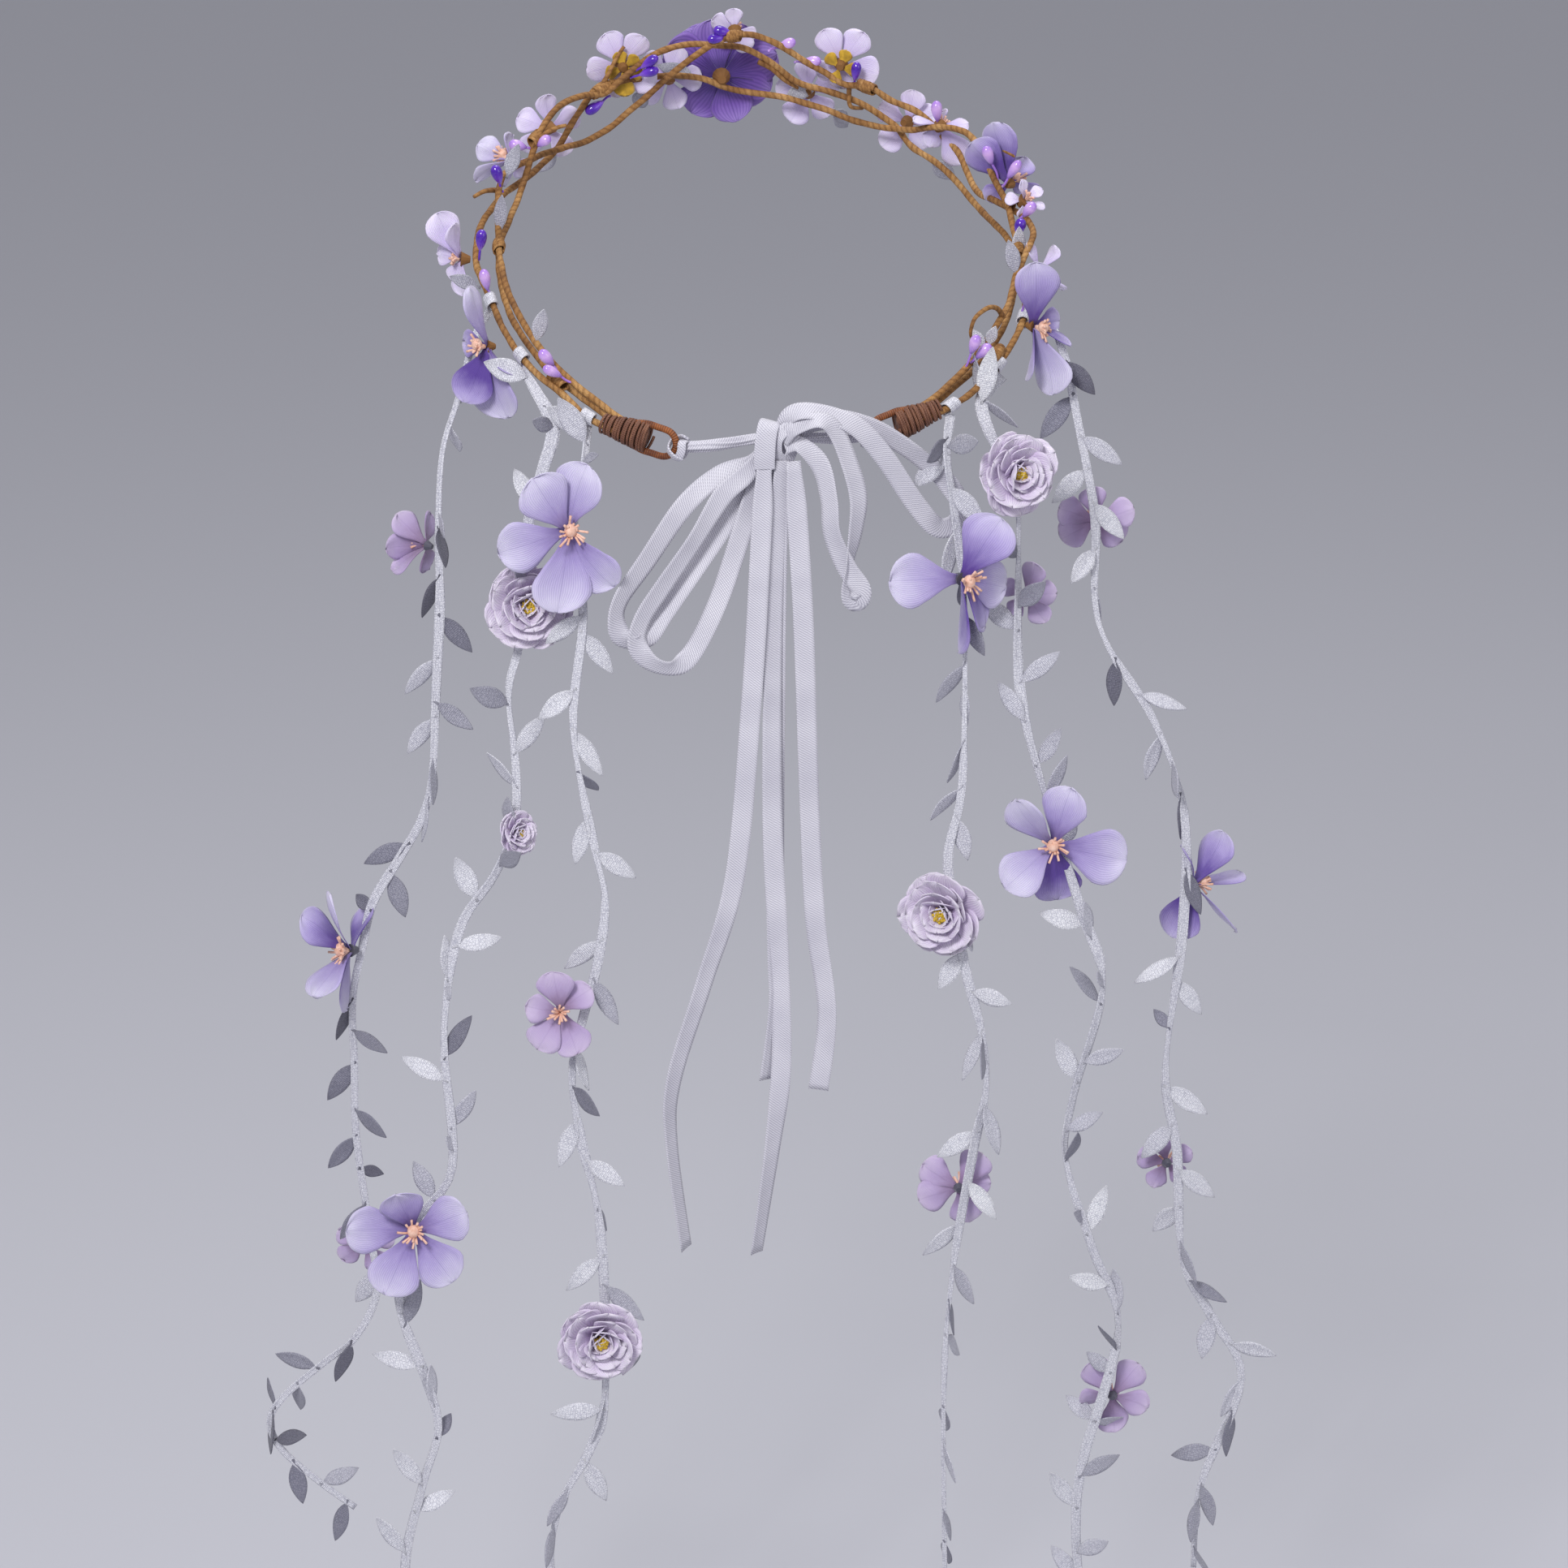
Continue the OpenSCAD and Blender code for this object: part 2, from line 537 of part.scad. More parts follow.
crown_pips = [
  [[305, -1, 2], [0.4, -0.5, 0.9]], [[307, -1.5, 1.5], [-0.5, -0.6, 0.7]], [[270, 7, 0], [0, -0.6, 1]],
  [[262, 0, 4], [0, -0.6, 1]], [[252, 2.5, 2], [-0.2, -0.5, 0.9]], [[236, 0, 1], [-1, -0.1, 0.4]],
  [[236, 0, 1], [1, 0.1, 0.5]], [[206, 1.5, 3], [0.6, 0, 0.8]], [[216, 4, -4], [-0.7, -0.3, -0.3]],
  [[185, -1, 11.5], [-1, 0, 0.3]], [[187, -1.5, 9.5], [-1, 0, -0.1]], [[171, 2, -5], [1, 0, -0.2]],
  [[158, 2, -12], [-1, 0, -0.3]], [[152, 1, -2.5], [0, -0.3, -1]], [[134, -1, -6], [0, 0, 1]],
  [[117, 1, 3], [-0.3, 0, 1]], [[110, 0, 2], [0.6, 0, 0.9]], [[102, 0, 1], [0.5, -0.6, 0.4]],
  [[97, 4.5, 1], [-0.2, -0.7, -0.6]], [[76, 3.5, 1], [0.3, -0.5, 0.9]], [[51, -2, 3], [0.2, -0.6, 0.9]],
  [[53, -2, 3], [0.8, -0.6, 0.5]]
];
module crown_large() {
  color(lilac) {
    for (f = crown_big) {
      aim(hoop(f[0]), f[1], f[2]) petals(large_r * 0.8, 10);
    }
  }
}
module crown_large_stamens() {
  color(peach) {
    for (f = crown_big) {
      aim(hoop(f[0]), f[1], f[2]) translate([0, 0, 0.4]) stamens();
    }
  }
}
module crown_front_flower() {
  color(violet) aim(hoop([183, 7, 2]), [0, 0.9, 0.25]) petals(large_r * 1.1, 12, 7);
}
module crown_small() {
  color(lilac) {
    for (f = crown_little) {
      aim(hoop(f[0]), f[1], f[2]) petals(small_r * 0.8, 25);
    }
  }
}
module crown_sepals() {
  color(mustard) {
    for (i = [2, 4]) {
      f = crown_little[i];
      aim(hoop(f[0]) - unit(f[1]) * 3.4, f[1], 36) translate([0, 0, 0]) cylinder(h = 1.2, d1 = 5, d2 = 9, $fn = 20);
    }
  }
}
module crown_buds() {
  color(violet) {
    for (f = crown_pips) {
      aim(hoop(f[0]), f[1]) bud();
    }
  }
}
module crown_leaves() {
  color(silver) {
    for (f = [
      [[294, -1, 4], [0.2, -0.3, 1]], [[279, 6, 0], [-0.8, -0.2, -0.6]], [[262, 0, 4], [0.1, 0.2, 1]],
      [[250, 3, 1.5], [0.4, 0.2, 1]], [[306, -1.5, -4], [0.2, 0.3, -0.9]], [[312, -2, 1], [0.3, 0.2, 0.9]],
      [[96, -0.5, -8], [-0.4, -0.1, 0.9]], [[78, -0.5, 5], [-0.2, 0, 1]],
      [[48, -2, 2.5], [-0.2, -0.2, 0.9]], [[48, -2, -2.5], [0.2, 0.4, -0.9]],
      [[226, 2, -15], [-0.4, 0.6, -0.6]], [[202, -2, -7], [-0.3, 0.8, -0.5]], [[158, -2, -17], [0.3, 0.8, -0.5]],
      [[132, -0.5, -19.5], [0.6, 0.5, -0.6]], [[190, 1, -7], [-0.8, 0.4, 0.2]], [[170, -1, -16], [0.8, 0.4, 0.2]]
    ]) {
      set_on(hoop(f[0]), f[1], [0.3, -1, 0.2]) leaf();
    }
  }
}

wire_1();
wire_2();
wire_3();
wire_knots();
wire_sprigs();
eye_left();
eye_right();
binding_left();
binding_right();
hitch_left();
hitch_right();
ribbon_left();
ribbon_right();
bow_knot();
loop_left_outer();
loop_left_inner();
loop_right_long();
loop_right_short();
tail_1();
tail_2();
tail_3();
tail_4();
crown_large();
crown_large_stamens();
crown_front_flower();
crown_small();
crown_sepals();
crown_buds();
crown_leaves();
tie_l1();
stem_l1();
leaves_l1();
large_l1();
small_l1();
tie_l2();
stem_l2();
leaves_l2();
large_l2();
small_l2();
tie_l3();
stem_l3();
leaves_l3();
large_l3();
small_l3();
tie_r1();
stem_r1();
leaves_r1();
large_r1();
small_r1();
tie_r2();
stem_r2();
leaves_r2();
large_r2();
small_r2();
tie_r3();
stem_r3();
leaves_r3();
large_r3();
small_r3();
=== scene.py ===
import bpy, bmesh, json, math, random
from mathutils import Matrix, Vector, noise
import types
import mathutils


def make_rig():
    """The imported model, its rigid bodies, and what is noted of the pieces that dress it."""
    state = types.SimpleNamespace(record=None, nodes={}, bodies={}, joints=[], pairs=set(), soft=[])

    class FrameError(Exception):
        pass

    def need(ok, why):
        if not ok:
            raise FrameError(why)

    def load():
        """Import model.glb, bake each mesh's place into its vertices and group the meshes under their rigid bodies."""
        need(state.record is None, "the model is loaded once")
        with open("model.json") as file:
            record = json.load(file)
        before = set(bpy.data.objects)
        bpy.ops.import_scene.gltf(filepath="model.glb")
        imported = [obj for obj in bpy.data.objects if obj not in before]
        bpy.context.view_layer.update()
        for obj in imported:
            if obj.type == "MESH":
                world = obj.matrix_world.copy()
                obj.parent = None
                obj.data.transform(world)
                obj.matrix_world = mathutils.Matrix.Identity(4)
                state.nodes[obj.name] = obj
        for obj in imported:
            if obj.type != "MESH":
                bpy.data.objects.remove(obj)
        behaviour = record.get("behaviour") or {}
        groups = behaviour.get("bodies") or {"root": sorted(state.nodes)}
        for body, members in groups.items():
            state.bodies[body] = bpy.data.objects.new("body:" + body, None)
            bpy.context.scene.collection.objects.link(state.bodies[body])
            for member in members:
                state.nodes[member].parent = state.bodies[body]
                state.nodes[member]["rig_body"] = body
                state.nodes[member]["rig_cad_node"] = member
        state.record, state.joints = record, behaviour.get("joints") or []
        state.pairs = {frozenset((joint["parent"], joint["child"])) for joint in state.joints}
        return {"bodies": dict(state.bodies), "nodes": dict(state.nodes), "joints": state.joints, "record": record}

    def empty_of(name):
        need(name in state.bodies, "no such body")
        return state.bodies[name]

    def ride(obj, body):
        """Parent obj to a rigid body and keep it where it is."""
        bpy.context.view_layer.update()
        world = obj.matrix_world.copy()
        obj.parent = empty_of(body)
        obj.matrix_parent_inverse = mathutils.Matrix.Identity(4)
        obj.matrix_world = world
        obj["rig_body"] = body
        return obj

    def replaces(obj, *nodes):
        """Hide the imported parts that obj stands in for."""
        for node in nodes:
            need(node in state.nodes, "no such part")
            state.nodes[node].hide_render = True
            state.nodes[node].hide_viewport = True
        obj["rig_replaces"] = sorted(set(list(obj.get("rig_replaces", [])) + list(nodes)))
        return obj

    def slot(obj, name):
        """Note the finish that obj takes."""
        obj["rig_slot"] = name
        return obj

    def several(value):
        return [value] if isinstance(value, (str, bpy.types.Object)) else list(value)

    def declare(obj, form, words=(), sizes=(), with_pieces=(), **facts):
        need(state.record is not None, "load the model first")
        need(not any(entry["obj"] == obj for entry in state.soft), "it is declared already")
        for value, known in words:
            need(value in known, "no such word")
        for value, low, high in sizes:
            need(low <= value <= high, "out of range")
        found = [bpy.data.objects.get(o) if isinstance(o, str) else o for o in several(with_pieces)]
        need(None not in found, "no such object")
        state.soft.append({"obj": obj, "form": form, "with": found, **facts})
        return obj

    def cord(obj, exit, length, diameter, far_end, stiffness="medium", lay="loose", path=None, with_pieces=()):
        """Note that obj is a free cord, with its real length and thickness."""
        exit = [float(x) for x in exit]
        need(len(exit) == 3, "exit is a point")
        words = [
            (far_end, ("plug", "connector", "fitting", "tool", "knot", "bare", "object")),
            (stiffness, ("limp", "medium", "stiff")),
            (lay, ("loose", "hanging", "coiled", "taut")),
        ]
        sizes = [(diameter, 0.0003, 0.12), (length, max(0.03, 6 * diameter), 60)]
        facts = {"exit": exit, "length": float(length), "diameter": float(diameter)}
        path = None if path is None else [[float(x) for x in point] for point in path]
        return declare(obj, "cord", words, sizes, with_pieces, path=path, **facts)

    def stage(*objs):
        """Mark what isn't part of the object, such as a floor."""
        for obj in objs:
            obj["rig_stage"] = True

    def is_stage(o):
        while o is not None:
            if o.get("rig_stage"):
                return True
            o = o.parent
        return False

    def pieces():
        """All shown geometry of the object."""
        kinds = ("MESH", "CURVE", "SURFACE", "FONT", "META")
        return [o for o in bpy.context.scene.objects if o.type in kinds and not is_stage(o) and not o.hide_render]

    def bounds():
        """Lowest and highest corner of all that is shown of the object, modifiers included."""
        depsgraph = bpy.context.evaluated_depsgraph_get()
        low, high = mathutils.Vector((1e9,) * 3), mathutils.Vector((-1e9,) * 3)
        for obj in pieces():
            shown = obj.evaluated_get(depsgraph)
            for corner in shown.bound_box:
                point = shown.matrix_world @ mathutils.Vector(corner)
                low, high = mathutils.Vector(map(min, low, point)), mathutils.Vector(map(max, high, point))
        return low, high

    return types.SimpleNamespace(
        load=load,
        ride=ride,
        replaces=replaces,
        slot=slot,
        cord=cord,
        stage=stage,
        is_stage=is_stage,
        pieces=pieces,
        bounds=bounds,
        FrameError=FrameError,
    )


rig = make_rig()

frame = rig.load()
cadBox = [list(corner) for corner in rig.bounds()]
mm = 0.001


# camera: behind the wearer and a little above

view = {"turn": -4.5, "lift": 18, "distance": 1.9, "lens": 122, "target": (0.007, -0.03, -0.188)}


def makeCamera(v):
    data = bpy.data.cameras.new("studioCamera")
    data.lens = v["lens"]
    data.sensor_width = 36
    data.clip_end = 50
    cam = bpy.data.objects.new("studioCamera", data)
    bpy.context.scene.collection.objects.link(cam)
    turn, lift = math.radians(v["turn"]), math.radians(v["lift"])
    away = Vector((math.sin(turn) * math.cos(lift), -math.cos(turn) * math.cos(lift), math.sin(lift)))
    cam.location = Vector(v["target"]) + away * v["distance"]
    cam.rotation_euler = (-away).to_track_quat("-Z", "Y").to_euler()
    bpy.context.scene.camera = cam


makeCamera(view)
print("camera set")


# hoop shape that the wires, ties and crown trim share: angle from the back, out, up

hoopSize = {"halfWidth": 92, "halfDepth": 96, "tilt": 33}


def onHoop(angle, out=0.0, up=0.0):
    a, t = math.radians(angle), math.radians(hoopSize["tilt"])
    back = -(hoopSize["halfDepth"] + out) * math.cos(a)
    return Vector(((hoopSize["halfWidth"] + out) * math.sin(a),
                   back * math.cos(t) - up * math.sin(t),
                   back * math.sin(t) + up * math.cos(t))) * mm


def smoothRoute(points, steps):  # a curve through every point
    pts = [Vector(p) for p in points]
    route = []
    for i in range(len(pts) - 1):
        a, b, c, d = pts[max(0, i - 1)], pts[i], pts[i + 1], pts[min(len(pts) - 1, i + 2)]
        for k in range(steps):
            f = k / steps
            route.append(0.5 * (2 * b + (c - a) * f + (2 * a - 5 * b + 4 * c - d) * f * f
                                + (3 * b - a - 3 * c + d) * f ** 3))
    return route + [pts[-1]]


def alongRoute(route):  # distance run at each point, in metres
    runs = [0.0]
    for a, b in zip(route, route[1:]):
        runs.append(runs[-1] + (b - a).length)
    return runs


def heading(route, i):
    return (route[min(len(route) - 1, i + 1)] - route[max(0, i - 1)]).normalized()


# mesh tools

def newMesh():
    bm = bmesh.new()
    bm.loops.layers.uv.new("UVMap")
    # per-vertex tint: painted light and shade on leaves and petals, real dye on buds and random tone on roses
    bm.verts.layers.float.new("tintAndShade")
    return bm


def gridOf(bm, columns, rows):  # a flat grid, each corner keyed by (across, along) from 0 to 1
    verts = bmesh.ops.create_grid(bm, x_segments=columns, y_segments=rows, size=1)["verts"]
    return {v: ((v.co.x + 1) / 2, (v.co.y + 1) / 2) for v in verts}


def lay(bm, cells, place, uvAt, tintAndShade=0.5):  # moves each corner of a grid to its place
    uv, tintAndShadeLayer = bm.loops.layers.uv["UVMap"], bm.verts.layers.float["tintAndShade"]
    faces = {f for v in cells for f in v.link_faces}
    for f in faces:
        f.smooth = True
        for loop in f.loops:
            loop[uv].uv = uvAt(*cells[loop.vert])
    for v, (s, t) in cells.items():
        v.co = place(s, t)
        v[tintAndShadeLayer] = tintAndShade


def framesAlong(route, normals):  # sideways and outward directions at each point
    frames = []
    for i in range(len(route)):
        t = heading(route, i)
        side = normals[i].cross(t).normalized()
        frames.append((side, t.cross(side)))
    return frames


# a closed rod along a route; boxy is 1 for a round section and less for a flat one
def sweep(bm, route, width, thick, facing, around=12, boxy=0.6, tintAndShade=0.5):
    n = len(route)
    runs = alongRoute(route)
    normals = facing if isinstance(facing, list) else [Vector(facing)] * n
    wide = width if callable(width) else lambda k: width
    deep = thick if callable(thick) else lambda k: thick
    frames = framesAlong(route, normals)
    cells = gridOf(bm, around, n - 1)

    def section(s, t):
        i = round(t * (n - 1))
        k = runs[i] / runs[-1]
        a = 2 * math.pi * s
        c, d = math.cos(a), math.sin(a)
        x = wide(k) / 2 * math.copysign(abs(c) ** boxy, c)
        y = deep(k) / 2 * math.copysign(abs(d) ** boxy, d)
        return i, x, y

    def place(s, t):
        i, x, y = section(s, t)
        return route[i] + frames[i][0] * x + frames[i][1] * y

    def uvAt(s, t):
        i, x, y = section(s, t)
        if boxy < 1:
            return (x / mm, runs[i] / mm)
        return (s * math.pi * wide(0.5) / mm, runs[i] / mm)

    lay(bm, cells, place, uvAt, tintAndShade)
    verts = list(cells)
    bmesh.ops.remove_doubles(bm, verts=verts, dist=1e-7)
    verts = [v for v in verts if v.is_valid]
    rim = {e for v in verts for e in v.link_edges if e.is_boundary}
    bmesh.ops.holes_fill(bm, edges=list(rim), sides=0)


# a flat strip; a modifier gives it thickness; wide is a width, or gives one for a share of the run
def tape(bm, route, wide, normals, columns=4, cup=0.0, tintAndShade=0.5):
    n = len(route)
    runs = alongRoute(route)
    frames = framesAlong(route, normals)
    widths = [wide(runs[i] / runs[-1]) if callable(wide) else wide for i in range(n)]

    def place(s, t):
        i = round(t * (n - 1))
        x = s * 2 - 1
        return route[i] + frames[i][0] * x * widths[i] / 2 + frames[i][1] * cup * (x * x - 0.4)

    def uvAt(s, t):
        i = round(t * (n - 1))
        return ((s - 0.5) * widths[i] / mm, runs[i] / mm)

    lay(bm, gridOf(bm, columns, n - 1), place, uvAt, tintAndShade)


def finishPiece(bm, name, material, body, nodes=(), slot=None, solid=None, outward=False):
    if outward:
        bmesh.ops.recalc_face_normals(bm, faces=bm.faces)
    mesh = bpy.data.meshes.new(name)
    bm.to_mesh(mesh)
    bm.free()
    piece = bpy.data.objects.new(name, mesh)
    bpy.context.scene.collection.objects.link(piece)
    mesh.materials.append(material)
    if solid:
        shell = piece.modifiers.new("sheetThickness", "SOLIDIFY")
        shell.thickness = solid * mm
        shell.offset = 0
    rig.ride(piece, body)
    if nodes:
        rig.replaces(piece, *nodes)
    if slot:
        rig.slot(piece, slot)
    return piece


def aimed(centre, facing, turn=0):  # local Z along facing
    v = Vector(facing).normalized()
    spin = Matrix.Rotation(math.atan2(v.y, v.x), 4, "Z") @ Matrix.Rotation(math.acos(v.z), 4, "Y")
    return Matrix.Translation(centre) @ spin @ Matrix.Rotation(math.radians(turn), 4, "Z")


def setOn(centre, ahead, upward):  # local X ahead, local Z near upward
    x = Vector(ahead).normalized()
    y = Vector(upward).cross(x).normalized()
    z = x.cross(y)
    return Matrix.Translation(centre) @ Matrix((x, y, z)).transposed().to_4x4()


def roundBall(bm, size, subdivisions):
    ball = bmesh.ops.create_icosphere(bm, subdivisions=subdivisions, radius=size * mm)["verts"]
    for f in {f for v in ball for f in v.link_faces}:
        f.smooth = True
    return ball


def ease(x):
    x = min(1.0, max(0.0, x))
    return x * x * (3 - 2 * x)


# materials

def toLinear(code):
    rgb = [int(code[i:i + 2], 16) / 255 for i in (1, 3, 5)]
    return [c / 12.92 if c <= 0.04045 else ((c + 0.055) / 1.055) ** 2.4 for c in rgb] + [1.0]


def addNode(tree, kind, values=None, **links):
    node = tree.nodes.new("ShaderNode" + kind)
    for key, value in (values or {}).items():
        if key in node.inputs:
            node.inputs[key].default_value = value
        else:
            setattr(node, key, value)
    for key, source in links.items():
        tree.links.new(source, node.inputs[int(key[1:])] if key[0] == "_" else node.inputs[key])
    return node


def newMaterial(name, **sockets):
    mat = bpy.data.materials.new(name)
    mat.use_nodes = True
    shader = mat.node_tree.nodes["Principled BSDF"]
    for key, value in sockets.items():
        shader.inputs[key.replace("_", " ")].default_value = value
    return mat, mat.node_tree, shader


def ramp(tree, source, *stops):
    node = tree.nodes.new("ShaderNodeValToRGB")
    tree.links.new(source, node.inputs[0])
    while len(node.color_ramp.elements) < len(stops):
        node.color_ramp.elements.new(0.5)
    for element, (position, colour) in zip(node.color_ramp.elements, stops):
        element.position = position
        element.color = toLinear(colour) if isinstance(colour, str) else (colour, colour, colour, 1)
    return node.outputs[0]


def bumped(tree, shader, height, distance, strength=1.0):
    node = addNode(tree, "Bump", {"Distance": distance * mm, "Strength": strength}, Height=height)
    tree.links.new(node.outputs[0], shader.inputs["Normal"])


def bands(period):  # wave texture scale for one line every so many millimetres
    return 0.31416 / period


def math2(tree, operation, a, b):
    node = tree.nodes.new("ShaderNodeMath")
    node.operation = operation
    for socket, value in zip(node.inputs, (a, b)):
        if isinstance(value, (int, float)):
            socket.default_value = value
        else:
            tree.links.new(value, socket)
    return node.outputs[0]


def blendColour(tree, kind, factor, a, b):
    node = tree.nodes.new("ShaderNodeMix")
    node.data_type = "RGBA"
    node.blend_type = kind
    for socket, value in zip((node.inputs[0], node.inputs[6], node.inputs[7]), (factor, a, b)):
        if isinstance(value, (int, float)):
            socket.default_value = value
        elif isinstance(value, str):
            socket.default_value = toLinear(value)
        else:
            tree.links.new(value, socket)
    return node.outputs[2]


# base, darkened where source is low; low is (place, colour) and high is the place where it ends
def shaded(tree, factor, base, source, low, high):
    return blendColour(tree, "MULTIPLY", factor, base, ramp(tree, source, low, (high, "#ffffff")))


def paint(tree, shader, colour):
    tree.links.new(colour, shader.inputs["Base Color"])


def lines(tree, vector, period, distortion, detail, crisp=None, along=False):
    values = {"Scale": bands(period), "Distortion": distortion, "Detail": detail}
    if along:
        values["bands_direction"] = "Y"
    if crisp:
        values["Detail Scale"] = crisp
    return addNode(tree, "TexWave", values, Vector=vector).outputs["Fac"]


def clouds(tree, vector, scale, detail, **more):
    values = {"Scale": scale, "Detail": detail, **more}
    return addNode(tree, "TexNoise", values, Vector=vector).outputs["Fac"]


def swayed(tree, run, source, amount):  # run pushed up or down where source is above or below a half
    return math2(tree, "ADD", run, math2(tree, "MULTIPLY", math2(tree, "SUBTRACT", source, 0.5), amount))


def turnedUv(tree, uv, degrees):
    return addNode(tree, "Mapping", {"Rotation": (0, 0, math.radians(degrees))}, Vector=uv).outputs[0]


def uvOf(tree):
    return addNode(tree, "UVMap", {"uv_map": "UVMap"}).outputs[0]


def tintAndShadeOf(tree):
    return addNode(tree, "Attribute", {"attribute_name": "tintAndShade"}).outputs["Fac"]


def kraftPaperWrap():  # strips of crepe paper wound on wire: dull and ribbed, with painted shade in the grooves between the ridges
    mat, tree, shader = newMaterial("kraftPaperWoundOnWire", Roughness=0.72)
    shader.inputs["Specular IOR Level"].default_value = 0.3
    uv = uvOf(tree)
    ridges = lines(tree, turnedUv(tree, uv, 62), 2.3, 6.0, 4, 0.6)
    fibre = clouds(tree, uv, 1.6, 5, Roughness=0.65)
    broad = clouds(tree, uv, 0.09, 2)
    base = ramp(tree, broad, (0.3, "#7f5833"), (0.5, "#a07443"), (0.7, "#c0955f"))
    # painted shade: the grooves between the ridges are darkened
    grooveShaded = shaded(tree, 0.38, base, ridges, (0.1, "#8a6a52"), 0.5)
    paint(tree, shader, shaded(tree, 0.5, grooveShaded, fibre, (0.3, "#9c8468"), 0.6))
    bumped(tree, shader, math2(tree, "ADD", math2(tree, "MULTIPLY", ridges, 0.6), fibre), 0.24, 0.8)
    return mat


def threadWrap():  # fine thread wound over the eye wire
    mat, tree, shader = newMaterial("threadWoundOnWire", Roughness=0.6)
    uv = uvOf(tree)
    turns = lines(tree, uv, 0.8, 0.8, 2, along=True)
    broad = clouds(tree, uv, 0.25, 3)
    base = ramp(tree, broad, (0.35, "#6e3a1c"), (0.65, "#a4602e"))
    # painted shade: the gaps between the thread turns are darkened
    paint(tree, shader, shaded(tree, 0.6, base, turns, (0.2, "#8f7a6c"), 0.7))
    bumped(tree, shader, turns, 0.2, 0.8)
    return mat


def waxedTwine():  # two-ply waxed cotton: a slanted twist and a low sheen
    mat, tree, shader = newMaterial("waxedCottonTwine", Roughness=0.58)
    uv = uvOf(tree)
    ply = lines(tree, turnedUv(tree, uv, 50), 0.55, 0.6, 2)
    broad = clouds(tree, uv, 0.2, 4)
    base = ramp(tree, broad, (0.3, "#6b4030"), (0.7, "#96664c"))
    # painted shade: the grooves between the twisted plies are darkened
    paint(tree, shader, shaded(tree, 0.6, base, ply, (0.1, "#7d6a60"), 0.7))
    bumped(tree, shader, ply, 0.18, 0.8)
    return mat


def satinRibbon():  # polyester satin: fine slanted twill that shines along the floats
    mat, tree, shader = newMaterial("polyesterSatinRibbon", Roughness=0.42)
    shader.inputs["Sheen Weight"].default_value = 0.35
    shader.inputs["Sheen Roughness"].default_value = 0.4
    shader.inputs["Anisotropic"].default_value = 0.4
    uv = uvOf(tree)
    twill = lines(tree, turnedUv(tree, uv, 58), 0.75, 0.5, 2, 2.0)
    weft = lines(tree, uv, 0.6, 0.4, 1, along=True)
    broad = clouds(tree, uv, 0.05, 2)
    base = ramp(tree, broad, (0.3, "#cfcdd7"), (0.7, "#e0dee6"))
    # painted shade: the lines between the twill floats and between the weft threads are darkened
    twillShaded = shaded(tree, 0.5, base, twill, (0.15, "#a5a3b2"), 0.7)
    paint(tree, shader, shaded(tree, 0.25, twillShaded, weft, (0.2, "#b3b1bf"), 0.6))
    bumped(tree, shader, math2(tree, "ADD", twill, math2(tree, "MULTIPLY", weft, 0.5)), 0.12, 0.6)
    return mat


def foiledCloth():  # cloth with a crackled silver-white foil print: bright flecks on a linen grain
    mat, tree, shader = newMaterial("foilPrintedCloth", Roughness=0.5, Metallic=0.18)
    shader.inputs["Sheen Weight"].default_value = 0.2
    uv = uvOf(tree)
    across = lines(tree, uv, 0.55, 1.6, 3, 1.5)
    grain = math2(tree, "MULTIPLY", across, lines(tree, uv, 0.6, 1.8, 3, 1.5, along=True))
    cell = {"feature": "DISTANCE_TO_EDGE", "Scale": 0.95, "Randomness": 1.0}
    flecks = addNode(tree, "TexVoronoi", cell, Vector=uv).outputs["Distance"]
    cracks = ramp(tree, flecks, (0.02, 0.0), (0.16, 1.0))
    # painted light and shade: each leaf's tint value sets how lit it looks, from dark grey in shade to near white in
    # light
    base = ramp(tree, tintAndShadeOf(tree), (0.0, "#5c5a68"), (0.4, "#9594a2"), (0.75, "#dfdee6"), (1.0, "#fbfbfd"))
    # painted shade: the lines of the linen weave are darkened
    grainShaded = shaded(tree, 0.45, base, grain, (0.05, "#9a9bae"), 0.45)
    paint(tree, shader, shaded(tree, 0.38, grainShaded, cracks, (0.0, "#8a8ba2"), 0.8))
    bumped(tree, shader, math2(tree, "ADD", grain, math2(tree, "MULTIPLY", cracks, 0.5)), 0.18, 0.7)
    return mat


# stiffened, dyed polyester: darker towards the throat, partly dye and partly painted shade; fine ribs fan out, edges
# let light through
def petalCloth(name, throat, middle, edge, veins, ribs=26):
    mat, tree, shader = newMaterial(name, Roughness=0.62)
    shader.inputs["Sheen Weight"].default_value = 0.3
    shader.inputs["Subsurface Weight"].default_value = 0.12
    shader.inputs["Subsurface Radius"].default_value = (0.0012, 0.0009, 0.0014)
    uv = uvOf(tree)
    parts = addNode(tree, "SeparateXYZ", Vector=uv)
    across, along = parts.outputs[0], parts.outputs[1]
    run = swayed(tree, along, clouds(tree, uv, 3.0, 3), 0.35)
    # painted shade: each petal's tint value moves the throat colour out over a shaded petal and back from a lit one
    run = swayed(tree, run, tintAndShadeOf(tree), 0.85)
    base = ramp(tree, run, (0.0, throat), (0.38, middle), (0.9, edge))
    fan = lines(tree, uv, 1 / ribs, 1.2, 3, 1.0)
    midrib = math2(tree, "ABSOLUTE", math2(tree, "SUBTRACT", across, 0.5), 0.0)
    crease = ramp(tree, midrib, (0.0, 0.0), (0.03, 1.0))
    lined = shaded(tree, 0.3, base, fan, (0.2, veins), 0.6)
    paint(tree, shader, shaded(tree, 0.18, lined, crease, (0.0, veins), 1.0))
    bumped(tree, shader, math2(tree, "ADD", fan, math2(tree, "MULTIPLY", crease, 0.8)), 0.12, 0.5)
    return mat


